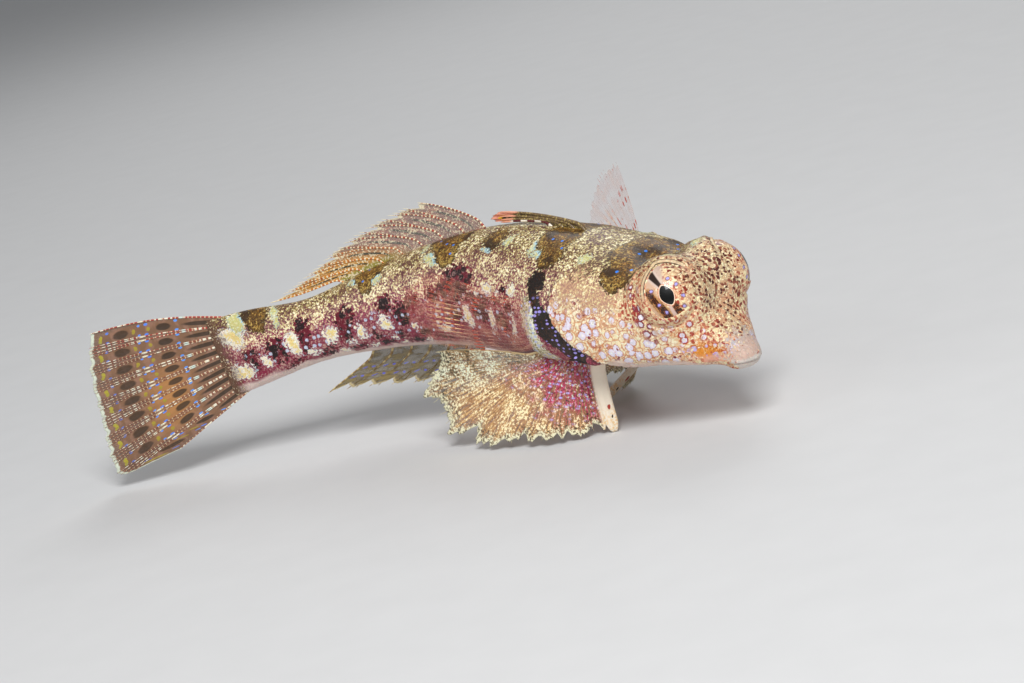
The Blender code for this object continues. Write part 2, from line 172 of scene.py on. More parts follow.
# The skin of the head, trunk and tail stalk
# A scaleless, slimy skin over the whole fish. It bulges into the orbits that carry the eyes, the
# lips, the nostrils and the gill covers, and closes over the roots of the tail fin's rays.

# Share of length, half width, height of the back above the spine line, depth of the belly below
BODY_SECTIONS = (
    (0.03, 1.5, 1.4, 0.9),
    (0.05, 2.5, 2.5, 1.2),
    (0.08, 3.7, 3.8, 1.4),
    (0.115, 4.8, 4.8, 1.7),
    (0.17, 5.9, 5.6, 2.2),
    (0.25, 6.9, 6.6, 3.3),
    (0.34, 7.3, 6.9, 4.8),
    (0.42, 6.7, 6.6, 5.8),
    (0.52, 5.6, 6.1, 5.7),
    (0.64, 4.4, 5.2, 4.8),
    (0.78, 3.2, 4.1, 3.7),
    (0.90, 2.3, 3.3, 3.0),
    (1.00, 1.6, 4.2, 3.3),
    (1.05, 1.2, 4.5, 3.5),
)
BACK_POWER = 2.1
BELLY_POWER = 2.5

# Share of length, turn round the body, reach along it, reach round it in degrees, and height
SWELLINGS = (
    (0.21, 108, 0.06, 34, 0.5),
    (0.285, 98, 0.03, 40, 0.35),
    (0.365, 100, 0.03, 26, 0.5),
    (0.145, 50, 0.045, 32, 1.1),
    (0.235, 44, 0.06, 22, 0.75),
)
SNOUT = 0.026
MOUTH_SHARE = 0.042
STALK_THINS = 1.02
SKIN_END = 1.075
SKIN_STEP = 0.165


def skin_point(share, turn, lift=0.0):
    """Points of the body's surface: turn 0 is the back, 90 the right side, 180 the belly."""
    share, turn = np.broadcast_arrays(np.asarray(share, float), np.asarray(turn, float))
    point, _, right, up = frame_at(share)
    width = through(BODY_SECTIONS, share, 1)
    across = np.sin(np.radians(turn))
    along = np.cos(np.radians(turn))
    on_back = along > 0
    tall = np.where(on_back, through(BODY_SECTIONS, share, 2), through(BODY_SECTIONS, share, 3))
    power = 2 / np.where(on_back, BACK_POWER, BELLY_POWER)
    side = width * np.sign(across) * np.abs(across) ** power
    high = tall * np.sign(along) * np.abs(along) ** power
    out = np.stack([side / width**2, high / tall**2], axis=-1)
    out /= np.linalg.norm(out, axis=-1, keepdims=True)
    swell = np.zeros_like(share)
    for at_share, at_turn, reach, turn_reach, height in SWELLINGS:
        for sign in (1, -1):
            away = (turn - sign * at_turn + 180) % 360 - 180
            swell += height * np.exp(-(((share - at_share) / reach) ** 2) - (away / turn_reach) ** 2)
    out *= (lift + swell)[..., None]
    return point + right * (side + out[..., 0])[..., None] + up * (high + out[..., 1])[..., None]


def ring_faces(rings, count):
    """Quads between rings of points, each of count points."""
    faces = []
    for i in range(rings - 1):
        for j in range(count):
            k = (j + 1) % count
            m = i + 1
            faces.append((i * count + j, i * count + k, m * count + k, m * count + j))
    return faces


def closed_loft(rings):
    """Points and faces of a closed surface through rings. Its ends are fans of triangles."""
    rings = np.asarray(rings, float)
    number, count, _ = rings.shape
    points = [tuple(point) for point in rings.reshape(-1, 3)]
    faces = ring_faces(number, count)
    for first, ring in ((0, rings[0]), ((number - 1) * count, rings[-1])):
        points.append(tuple(ring.mean(axis=0)))
        for j in range(count):
            faces.append((first + j, first + (j + 1) % count, len(points) - 1))
    return points, faces


def tube_rings(points, radii, sides):
    """Rings round a path of points, each with its own radius."""
    points = np.array(points, float)
    along = np.gradient(points, axis=0)
    along /= np.linalg.norm(along, axis=1, keepdims=True)
    first = np.cross(along, [0.03, 0.02, 1.0])
    first /= np.linalg.norm(first, axis=1, keepdims=True)
    second = np.cross(along, first)
    angles = np.linspace(0, 2 * math.pi, sides, endpoint=False)
    radii = np.asarray(radii, float)[:, None, None]
    spread = (
        first[:, None] * np.cos(angles)[None, :, None]
        + second[:, None] * np.sin(angles)[None, :, None]
    )
    return points[:, None] + radii * spread


def eye_axes(side):
    """Centre, axis, and the level and upright vectors across an eye."""
    centre, axis = eye_place(side)
    ahead = frame_at(EYE_SHARE)[1]
    across = np.cross(axis, ahead)
    across /= np.linalg.norm(across)
    level = np.cross(across, axis)
    return centre, axis, level, across * side


# Height along the eye's axis and reach past the eyeball's radius, from deep in the head to the rim
ORBIT_PROFILE = (
    (-3.2, 0.2),
    (-2.4, 0.75),
    (-1.4, 0.98),
    (-0.5, 0.93),
    (0.2, 0.8),
    (0.7, 0.6),
    (1.0, 0.38),
    (1.08, 0.1),
)


def orbit_rings(side):
    """The mound of skin that carries an eye."""
    centre, axis, level, upright = eye_axes(side)
    angles = np.linspace(0, 2 * math.pi, 48, endpoint=False)
    out = level * np.cos(angles)[:, None] + upright * np.sin(angles)[:, None]
    return [centre + axis * deep + out * (EYE_RADIUS + wide) for deep, wide in ORBIT_PROFILE]


def lip_rings(low, reach, half_width, thick):
    """One lip, bent round the front of the snout, at a height in its frame."""
    point, ahead, right, up = frame_at(MOUTH_SHARE)
    angles = np.radians(np.linspace(-105, 105, 25))
    path = [
        point
        + ahead * reach * math.cos(angle)
        + right * half_width * math.sin(angle)
        + up * (low - 0.35 * (1 - math.cos(angle)))
        for angle in angles
    ]
    radii = [thick * (0.55 + 0.45 * math.cos(angle / 1.3)) for angle in angles]
    return tube_rings(path, radii, 14)


def skin_pieces():
    """Closed forms that together fill the fish: body, orbits, lips, nostrils and gill spines."""
    shares = np.concatenate([np.linspace(SNOUT, 0.3, 60), np.linspace(0.31, SKIN_END, 90)])
    turns = np.arange(0, 360, 5.0)
    body = skin_point(shares[:, None], turns[None, :], -0.04)
    for i, share in enumerate(shares):
        if share > STALK_THINS:
            point, _, right, _ = frame_at(share)
            thinned = 0.85 * ((share - STALK_THINS) / (SKIN_END - STALK_THINS)) ** 0.8
            side = (body[i] - point) @ right
            body[i] -= right * (side * thinned)[:, None]
    pieces = [closed_loft(body)]
    pieces.append(closed_loft(lip_rings(0.05, 1.47, 1.47, 0.6)))
    pieces.append(closed_loft(lip_rings(-1.0, 1.22, 1.27, 0.53)))
    for side in (1, -1):
        pieces.append(closed_loft(orbit_rings(side)))
        spine = [(0.215, 112, -0.6), (0.24, 111, 0.1), (0.265, 109, 0.24), (0.284, 107, 0.5)]
        path = [skin_point(share, side * turn, lift) for share, turn, lift in spine]
        pieces.append(closed_loft(tube_rings(path, [0.55, 0.45, 0.3, 0.12], 10)))
        path = [skin_point(0.088, side * 60, -0.5), skin_point(0.086, side * 60, 0.27)]
        pieces.append(closed_loft(tube_rings(path, [0.36, 0.24], 10)))
    return pieces


def mesh_object(name, points, faces, scale=MM):
    """A mesh object from points in millimetres in the fish's own frame."""
    mesh = bpy.data.meshes.new(name)
    placed = (np.asarray(points, float) + (SHIFT if scale == MM else 0)) * scale
    mesh.from_pydata([tuple(point) for point in placed], [], [tuple(face) for face in faces])
    mesh.update()
    mesh.shade_smooth()
    piece = bpy.data.objects.new(name, mesh)
    bpy.context.scene.collection.objects.link(piece)
    return piece


def face_out(piece):
    """Turns the faces of a closed mesh outwards."""
    bm = bmesh.new()
    bm.from_mesh(piece.data)
    bmesh.ops.recalc_face_normals(bm, faces=bm.faces)
    bm.to_mesh(piece.data)
    bm.free()


def evaluated_mesh(piece):
    """The mesh of an object with its modifiers applied."""
    bpy.context.view_layer.update()
    graph = bpy.context.evaluated_depsgraph_get()
    return bpy.data.meshes.new_from_object(piece.evaluated_get(graph))


def fused_skin():
    """The forms of the skin grown into one even mesh, in millimetres."""
    points = []
    faces = []
    for piece_points, piece_faces in skin_pieces():
        start = len(points)
        points += piece_points
        faces += [tuple(start + k for k in face) for face in piece_faces]
    rough = mesh_object("rough skin", points, faces, 1.0)
    face_out(rough)
    remesh = rough.modifiers.new("even", "REMESH")
    remesh.mode = "VOXEL"
    remesh.voxel_size = SKIN_STEP
    remesh.use_smooth_shade = True
    smooth = rough.modifiers.new("smooth", "SMOOTH")
    smooth.factor = 0.5
    smooth.iterations = 6
    mesh = evaluated_mesh(rough)
    bpy.data.objects.remove(rough)
    count = len(mesh.vertices)
    places = np.empty(count * 3)
    mesh.vertices.foreach_get("co", places)
    quads = [tuple(face.vertices) for face in mesh.polygons]
    bpy.data.meshes.remove(mesh)
    return places.reshape(-1, 3), quads


def body_coordinates(places):
    """Share of length and turn round the body of each place, from the nearest plain surface."""
    shares = np.linspace(SNOUT - 0.004, SKIN_END, 320)
    turns = np.arange(-180, 180, 3.0)
    grid = skin_point(shares[:, None], turns[None, :])
    count = len(turns)
    tree = BVHTree.FromPolygons(
        [Vector(point) for point in grid.reshape(-1, 3)], ring_faces(len(shares), count)
    )
    found_share = np.empty(len(places))
    found_turn = np.empty(len(places))
    for k, place in enumerate(places):
        spot, _, index, _ = tree.find_nearest(place)
        i, j = divmod(index, count)
        corner = grid[i, j]
        along = grid[i + 1, j] - corner
        round_it = grid[i, (j + 1) % count] - corner
        step = np.array(spot) - corner
        found_share[k] = shares[i] + (shares[1] - shares[0]) * np.clip(step @ along / (along @ along), 0, 1)
        found_turn[k] = turns[j] + 3.0 * np.clip(step @ round_it / (round_it @ round_it), 0, 1)
    return found_share, found_turn


def around_radius(share):
    """The mean radius of the body at shares, which turns degrees round it to millimetres."""
    sizes = [through(BODY_SECTIONS, share, column) for column in (1, 2, 3)]
    return (sizes[0] + (sizes[1] + sizes[2]) / 2) / 2


def away_from(share, turn, at_share, at_turn):
    """How far places lie from one place of the body, along it and round it, in millimetres."""
    along = (share - at_share) * STANDARD_LENGTH
    round_it = np.radians(np.abs(turn) - at_turn) * around_radius(share)
    return along, round_it


def near_path(share, turn, path):
    """Distance from a path over the body, and on which side of it a place lies."""
    best = np.full(share.shape, 99.0)
    side = np.zeros(share.shape)
    for (share_a, turn_a), (share_b, turn_b) in zip(path, path[1:]):
        x, y = away_from(share, turn, share_a, turn_a)
        path_x = (share_b - share_a) * STANDARD_LENGTH
        path_y = math.radians(turn_b - turn_a) * float(around_radius(np.array(share_a)))
        length = math.hypot(path_x, path_y)
        t = np.clip((x * path_x + y * path_y) / length**2, 0, 1)
        distance = np.hypot(x - t * path_x, y - t * path_y)
        closer = distance < best
        best[closer] = distance[closer]
        side[closer] = ((y * path_x - x * path_y) / length)[closer]
    return best, side


def near_spots(share, turn, spots):
    """Distance in millimetres from the nearest of some oval spots, less than 0 inside one."""
    best = np.full(share.shape, 99.0)
    for at_share, at_turn, half_long, half_tall in spots:
        x, y = away_from(share, turn, at_share, at_turn)
        reach = np.hypot(x / half_long, y / half_tall) - 1
        best = np.minimum(best, reach * min(half_long, half_tall))
    return best


def vertex_normals(places, faces):
    """Unit normals of a mesh of quads."""
    faces = np.array(faces)
    corners = [places[faces[:, k]] for k in range(4)]
    across = np.cross(corners[2] - corners[0], corners[3] - corners[1])
    normals = np.zeros_like(places)
    for k in range(4):
        np.add.at(normals, faces[:, k], across)
    return normals / np.maximum(np.linalg.norm(normals, axis=1, keepdims=True), 1e-9)


def bell(value, width):
    """A smooth bump, 1 where the value is 0."""
    return np.exp(-((value / width) ** 2))


def rise(value, start, end):
    """A smooth rise from 0 to 1 as a value goes from a start to an end."""
    t = np.clip((value - start) / (end - start), 0, 1)
    return t * t * (3 - 2 * t)


def lumps(places, size, seed):
    """Smooth noise between -1 and 1 at places, with lumps of a size in millimetres."""
    offset = Vector((seed * 7.3, seed * 3.1, seed * 5.7))
    return np.array([noise.noise(Vector(place) / size + offset) for place in places])


# The edge of the gill cover, from the gill pore down to the throat, as shares and turns
GILL_EDGE = (
    (0.312, 44),
    (0.335, 60),
    (0.335, 74),
    (0.318, 84),
    (0.285, 92),
    (0.250, 101),
    (0.215, 112),
    (0.180, 126),
    (0.150, 150),
)
THROAT_FOLDS = (
    ((0.262, 112), (0.225, 113), (0.19, 119), (0.15, 128)),
    ((0.245, 121), (0.21, 124), (0.17, 133)),
    ((0.235, 103), (0.205, 108), (0.165, 115), (0.12, 122)),
)
GILL_PORE = (0.310, 41)
LID_REACH = 2.75
LID_HEIGHT = 0.8

# The oval opening between the lids: how far its middle lies ahead of and above the eye's middle,
# and its half length and half height. It hides the eyeball's rear and lower edges.
OPENING = (0.35, 0.9, 2.2, 2.9)


def across_eye(places, side):
    """Height of places along an eye's axis, reach from it, and the way round it as two parts."""
    centre, axis, level, upright = eye_axes(side)
    step = places - centre
    high = step @ axis
    wide = np.linalg.norm(step - high[:, None] * axis, axis=1)
    return high, wide, step @ level, step @ upright


def from_opening(wide, forward, above):
    """Distance out from the edge of the opening between the lids, less than 0 inside it."""
    ahead, up, half_long, half_tall = OPENING
    x, y = (forward - ahead) / half_long, (above - up) / half_tall
    hood = np.hypot(x, y * np.where(y < 0, 1.0 + 0.12 * np.abs(x), 1.0)) - 1
    return np.maximum(wide - LID_REACH, half_long * hood)


def mouth_line(places):
    """Distance from the line where the lips meet, in millimetres."""
    point, ahead, right, up = frame_at(MOUTH_SHARE)
    step = places - point
    angle = np.arctan2(np.abs(step @ right), step @ ahead)
    crease = -0.5 - 0.35 * (1 - np.cos(angle))
    on_lips = (np.hypot(step @ right, step @ ahead) > 0.9) & (angle < 1.85)
    return np.where(on_lips, np.abs(step @ up - crease), 9.0)


def eased(places, faces, weight, rounds):
    """Places drawn to the middle of their neighbours, over and over, by a weight from 0 to 1."""
    faces = np.array(faces)
    count = len(places)
    number = np.bincount(faces.reshape(-1), minlength=count)[:, None]
    for _ in range(rounds):
        middles = places[faces].mean(axis=1)
        total = [
            sum(np.bincount(faces[:, k], middles[:, axis], count) for k in range(4)) for axis in range(3)
        ]
        places = places + weight[:, None] * (np.stack(total, axis=1) / number - places)
    return places


def hollows(places):
    """1 where the skin runs smoothly from the head on to the lids and the lips, and 0 elsewhere."""
    step = places - frame_at(MOUTH_SHARE)[0]
    most = rise(np.linalg.norm(step, axis=1), 3.6, 2.6) * rise(mouth_line(places), 0.1, 0.4)
    for eye_side in (1, -1):
        high, wide, _, _ = across_eye(places, eye_side)
        around = rise(wide, EYE_RADIUS, EYE_RADIUS + 0.5) * rise(wide, EYE_RADIUS + 4.0, EYE_RADIUS + 2.2)
        most = np.maximum(most, around * (high > -3.6))
    return most


def carved(places, faces, share, turn):
    """The skin with its grooves, folds and sockets, pushed along its normals."""
    places = eased(places, faces, 0.8 * hollows(places), 60)
    push = 0.022 * lumps(places, 1.1, 1) + 0.012 * lumps(places, 0.5, 2)
    push -= 0.4 * bell(np.abs(turn), 9) * bell(share - 0.2, 0.05)
    push -= 0.12 * bell(mouth_line(places), 0.12)
    distance, side = near_path(share, turn, GILL_EDGE)
    push += np.where(side > 0, 0.16 * np.exp(-distance / 1.1), -0.10 * np.exp(-distance / 0.7))
    for fold in THROAT_FOLDS:
        distance, side = near_path(share, turn, fold)
        push += 0.07 * bell(distance - 0.18, 0.16) - 0.08 * bell(distance, 0.12)
    x, y = away_from(share, turn, *GILL_PORE)
    push -= 0.35 * bell(np.hypot(x, y * 0.8), 0.32)
    push += 0.22 * bell(np.hypot(x + 0.45, y * 0.5), 0.3)
    for eye_side in (1, -1):
        high, wide, forward, above = across_eye(places, eye_side)
        behind = rise(0.6 * above - forward, 0.2, 2.0) * (high > -2.5)
        for reach, tall in ((EYE_RADIUS + 0.5, 0.07), (EYE_RADIUS + 0.95, 0.05)):
            push += tall * behind * (bell(wide - reach, 0.13) - bell(wide - reach + 0.22, 0.11))
    places = places + vertex_normals(places, faces) * push[:, None]
    for eye_side in (1, -1):
        high, wide, forward, above = across_eye(places, eye_side)
        ball = 0.86 * EYE_RADIUS * np.sqrt(np.clip(1 - (wide / EYE_RADIUS) ** 2, 0, 1))
        beyond = np.clip(wide - LID_REACH, 0, None)
        rim = LID_HEIGHT + 0.9 * beyond + 2.2 * np.clip(beyond - 0.2, 0, None) ** 2
        covered = rise(from_opening(wide, forward, above), -0.12, 0)
        limit = (ball - 0.15) * (1 - covered) + np.maximum(ball + 0.14, rim) * covered
        moved = np.where(wide < EYE_RADIUS + 0.05, limit, np.minimum(high, limit))
        moved = np.where((beyond < 2) & (high > -0.4), moved, high)
        places = places + eye_axes(eye_side)[1] * (moved - high)[:, None]
    return places


def stored(piece, name, values):
    """Keeps a number or a vector for each point of a piece, for its material to read."""
    values = np.asarray(values, np.float32)
    kind = "FLOAT" if values.ndim == 1 else "FLOAT_VECTOR"
    layer = piece.data.attributes.new(name, kind, "POINT")
    layer.data.foreach_set("value" if values.ndim == 1 else "vector", values.reshape(-1))


# Marks of the skin, as share of length, turn round the body, half length and half height in mm
SADDLES = (
    (0.235, 5, 2.4, 2.8),
    (0.222, 29, 1.8, 1.9),
    (0.385, 12, 2.1, 2.6),
    (0.372, 33, 1.4, 1.7),
    (0.508, 24, 1.2, 1.5),
    (0.605, 10, 2.2, 2.3),
    (0.600, 35, 1.4, 1.6),
    (0.765, 12, 2.0, 1.8),
    (0.772, 35, 1.0, 1.4),
    (0.852, 20, 0.45, 0.35),
    (0.985, 15, 1.4, 2.0),
    (0.985, 44, 0.9, 0.9),
)
PALE_EDGES = (
    (0.218, 43, 0.8, 0.4),
    (0.200, 12, 0.6, 0.7),
    (0.160, 16, 0.5, 0.6),
    (0.300, 30, 0.5, 0.5),
    (0.398, 36, 0.9, 0.5),
    (0.415, 27, 0.3, 1.1),
    (0.475, 27, 0.3, 0.7),
    (0.512, 37, 0.6, 0.4),
    (0.617, 43, 0.8, 0.5),
    (0.636, 36, 0.6, 0.4),
    (0.652, 14, 0.3, 0.8),
    (0.795, 24, 0.8, 0.45),
    (0.750, 39, 0.7, 0.5),
    (0.948, 26, 0.35, 1.3),
    (1.020, 30, 0.9, 1.2),
)
BLUE_DOTS = ((0.626, 9), (0.607, 20), (0.591, 25), (0.591, 37), (0.391, 19), (0.371, 19), (0.359, 26),
             (0.240, 3), (0.230, 31), (0.214, 24), (0.767, 9), (0.776, 33))
BLOTCHES = (
    (0.452, 74, 0.9, 0.4),
    (0.475, 81, 0.9, 0.4),
    (0.505, 84, 1.2, 0.5),
    (0.535, 81, 1.4, 0.6),
    (0.563, 65, 1.5, 1.3),
    (0.580, 73, 2.3, 1.5),
    (0.625, 77, 1.2, 0.7),
    (0.680, 82, 1.0, 0.7),
    (0.708, 92, 1.0, 0.9),
    (0.740, 77, 1.0, 0.8),
    (0.672, 114, 1.1, 0.6),
    (0.725, 116, 0.9, 0.6),
    (0.775, 111, 1.0, 0.6),
    (0.825, 80, 1.1, 0.9),
    (0.832, 101, 0.8, 1.2),
    (0.868, 116, 1.0, 0.5),
    (0.908, 74, 0.9, 1.0),
    (0.912, 102, 0.6, 1.0),
    (0.966, 94, 1.1, 0.9),
    (1.015, 96, 0.9, 0.9),
    (0.440, 87, 1.0, 0.6),
    (0.465, 96, 1.2, 0.8),
    (0.520, 92, 1.4, 0.9),
    (0.590, 96, 1.4, 0.8),
    (0.640, 124, 1.1, 0.5),
    (0.700, 130, 1.1, 0.5),
    (0.760, 129, 1.1, 0.5),
    (0.820, 130, 1.0, 0.5),
    (0.880, 130, 1.0, 0.5),
    (0.945, 126, 1.0, 0.5),
)
PALE_SPOTS = (
    (0.497, 75, 0.6, 0.45),
    (0.434, 71, 0.55, 0.45),
    (0.690, 104, 0.5, 0.35),
    (0.748, 97, 0.85, 0.5),
    (0.803, 103, 0.45, 0.6),
    (0.858, 95, 0.8, 0.55),
    (0.934, 93, 0.7, 0.85),
    (0.744, 120, 0.45, 0.3),
    (0.826, 118, 0.45, 0.3),
    (0.901, 117, 0.5, 0.3),
    (0.990, 108, 0.5, 0.4),
    (1.035, 58, 1.4, 0.8),
    (1.040, 112, 1.3, 0.7),
    (0.525, 77, 0.25, 0.25),
    (0.469, 76, 0.25, 0.25),
    (0.430, 98, 0.45, 0.9),
    (0.492, 98, 0.4, 0.9),
    (0.555, 98, 0.5, 0.7),
    (0.620, 112, 0.5, 0.4),
    (0.672, 131, 0.5, 0.3),
    (0.730, 133, 0.5, 0.3),
    (0.790, 132, 0.5, 0.3),
    (0.850, 132, 0.5, 0.3),
)
DOT_SIZE = (0.15, 0.13)

# The dark band behind the gill cover and the fin's base behind it, as shares and turns
GILL_BAND = ((0.385, 60), (0.367, 71), (0.350, 79), (0.325, 88), (0.300, 96), (0.275, 108), (0.262, 122))
BAND_TOP = ((0.372, 57, 0.95, 1.0),)
FIN_BASE = ((0.382, 82), (0.372, 95), (0.366, 110), (0.350, 122))
FIN_BASE_HALF = 1.2
GILL_REAR = 0.33

skin_places, skin_faces = fused_skin()
skin_share, skin_turn = body_coordinates(skin_places)
skin_places = carved(skin_places, skin_faces, skin_share, skin_turn)
skin = mesh_object("skin", skin_places, skin_faces)

# Every mark is bent a little by the same slow noise, so that no edge is a true oval
bent_share = skin_share + 0.35 * lumps(skin_places, 1.5, 3) / STANDARD_LENGTH
bent_turn = skin_turn + np.degrees(0.35 * lumps(skin_places, 1.5, 4) / around_radius(skin_share))
steep = np.abs(bent_turn)
stored(skin, "body", np.stack([bent_share, steep, np.zeros_like(steep)], axis=1))
for mark_name, spots in (
    ("saddle", SADDLES),
    ("pale_edge", PALE_EDGES),
    ("blotch", BLOTCHES),
    ("pale_spot", PALE_SPOTS),
):
    stored(skin, mark_name, near_spots(bent_share, bent_turn, spots))
stored(skin, "blue_dot", near_spots(skin_share, skin_turn, [(*dot, *DOT_SIZE) for dot in BLUE_DOTS]))
band_distance = near_path(bent_share, bent_turn, GILL_BAND)[0] - (0.6 + 0.75 * rise(steep, 68, 95))
stored(skin, "gill_band", np.minimum(band_distance, near_spots(bent_share, bent_turn, BAND_TOP)))
stored(skin, "fin_base", near_path(bent_share, bent_turn, FIN_BASE)[0] - FIN_BASE_HALF)
edge_distance, edge_side = near_path(skin_share, skin_turn, GILL_EDGE)
on_head = (edge_side > 0) & (skin_share <= GILL_REAR)
stored(skin, "gill_cover", np.where(on_head, edge_distance, -edge_distance))
stored(skin, "mouth", mouth_line(skin_places))
rims = []
for eye_side in (1, -1):
    eye_height, eye_wide, eye_forward, eye_above = across_eye(skin_places, eye_side)
    past_lid = np.where(eye_height > -2.5, from_opening(eye_wide, eye_forward, eye_above), 9.0)
    rims.append(np.stack([past_lid, eye_forward, eye_above], axis=1))
right_nearer = rims[0][:, :1] < rims[1][:, :1]
stored(skin, "eye_rim", np.where(right_nearer, rims[0], rims[1]))


def hex_colour(code):
    """A colour from its sRGB hex value, as linear numbers."""
    parts = [int(code[k : k + 2], 16) / 255 for k in (1, 3, 5)]
    linear = [part / 12.92 if part <= 0.04045 else ((part + 0.055) / 1.055) ** 2.4 for part in parts]
    return (*linear, 1.0)


def add(tree, kind, *inputs, out=0, named=None, **settings):
    """Adds a node of a kind, with its operation after a space where it has one, and its settings.

    Its inputs are given in order or by name. Gives one of its outputs.
    """
    kind, _, operation = kind.partition(" ")
    node = tree.nodes.new(kind if kind.startswith(("GeometryNode", "NodeGroup")) else "ShaderNode" + kind)
    if operation:
        node.operation = operation
    for name, value in settings.items():
        setattr(node, name, value)
    pairs = list(zip([socket for socket in node.inputs if socket.enabled], inputs))
    pairs += [(node.inputs[name], value) for name, value in (named or {}).items()]
    for socket, value in pairs:
        if isinstance(value, bpy.types.NodeSocket):
            tree.links.new(value, socket)
        elif value is not None:
            socket.default_value = hex_colour(value) if str(value).startswith("#") else value
    outputs = [socket for socket in node.outputs if socket.enabled]
    return outputs[out] if outputs else node


def where(tree, *masks):
    """The product of masks. One given as a value, a start and an end rises smoothly between them."""
    product = None
    for mask in masks:
        if isinstance(mask, tuple):
            mask = add(tree, "MapRange", *mask, interpolation_type="SMOOTHSTEP")
        product = mask if product is None else add(tree, "Math MULTIPLY", product, mask)
    return product


def paint(tree, ground, *layers):
    """Lays colours over a ground. Each layer is its masks, as where takes them, then its colour."""
    for *masks, colour in layers:
        ground = add(tree, "Mix", where(tree, *masks), ground, colour, data_type="RGBA")
    return ground


def band(tree, value, centre, half, soft):
    """A mask of 1 where a value is within half of a centre."""
    away = add(tree, "Math ABSOLUTE", add(tree, "Math SUBTRACT", value, centre))
    return where(tree, (away, half + soft, half - soft))


def millimetres(tree):
    """Object coordinates in millimetres."""
    place = add(tree, "TexCoord", out=3)
    return add(tree, "VectorMath MULTIPLY", place, (1000, 1000, 1000))


def start_finish(name):
    """A new material and its empty tree."""
    material = bpy.data.materials.new(name)
    material.use_nodes = True
    material.node_tree.nodes.clear()
    return material, material.node_tree


def end_finish(tree, colour, height, depth, roughness, alpha=None, **numbers):
    """Closes a material with one shader. Depth is how deep its relief is, in millimetres."""
    relief = add(tree, "Bump", named={"Strength": 1.0, "Distance": depth * MM, "Height": height})
    sockets = {"Base Color": colour, "Roughness": roughness, "Normal": relief}
    if alpha is not None:
        sockets["Alpha"] = alpha
    for name, value in numbers.items():
        sockets[name.replace("_", " ").title().replace("Ior", "IOR")] = value
    shader = add(tree, "BsdfPrincipled", named=sockets)
    add(tree, "OutputMaterial", shader)


def speckled(tree, place, clouds, dark):
    """Cream skin veined with gold under specks 0.4 mm apart, rust on the snout and dark above."""
    bend = add(tree, "TexNoise", place, 2.2, 2.0, out=1)
    bent = add(tree, "VectorMath MULTIPLY_ADD", bend, (0.5, 0.5, 0.5), place)
    cell = add(tree, "TexVoronoi", bent, 2.7)
    tone = add(tree, "SeparateColor", cell.node.outputs["Color"])
    reach = add(tree, "Math MULTIPLY_ADD", clouds, 0.6, cell)
    specks = where(tree, (reach, 0.77, 0.66))
    veins = add(tree, "TexNoise", place, 3.6, 3.0, 0.6, 2.0, 0.6)
    seam = add(tree, "TexVoronoi", bent, 1.9, feature="DISTANCE_TO_EDGE")
    seam = where(tree, (seam, 0.11, 0.04), add(tree, "MapRange", veins, 0.4, 0.5))
    ground = paint(
        tree, "#f7e0ae",
        ((clouds, 0.44, 0.60), "#eab48a"),
        (dark, 0.45, "#b58a6a"),
        ((veins, 0.51, 0.57), "#fff0c4"),
    )
    rust = paint(tree, "#b0402c", ((tone, 0.35, 0.6), "#cf7c5c"))
    maroon = paint(tree, "#541f1c", ((tone, 0.35, 0.6), "#8c4c38"))
    speck = paint(tree, rust, (dark, maroon))
    return paint(tree, ground, (seam, 0.6, speck), (specks, speck))


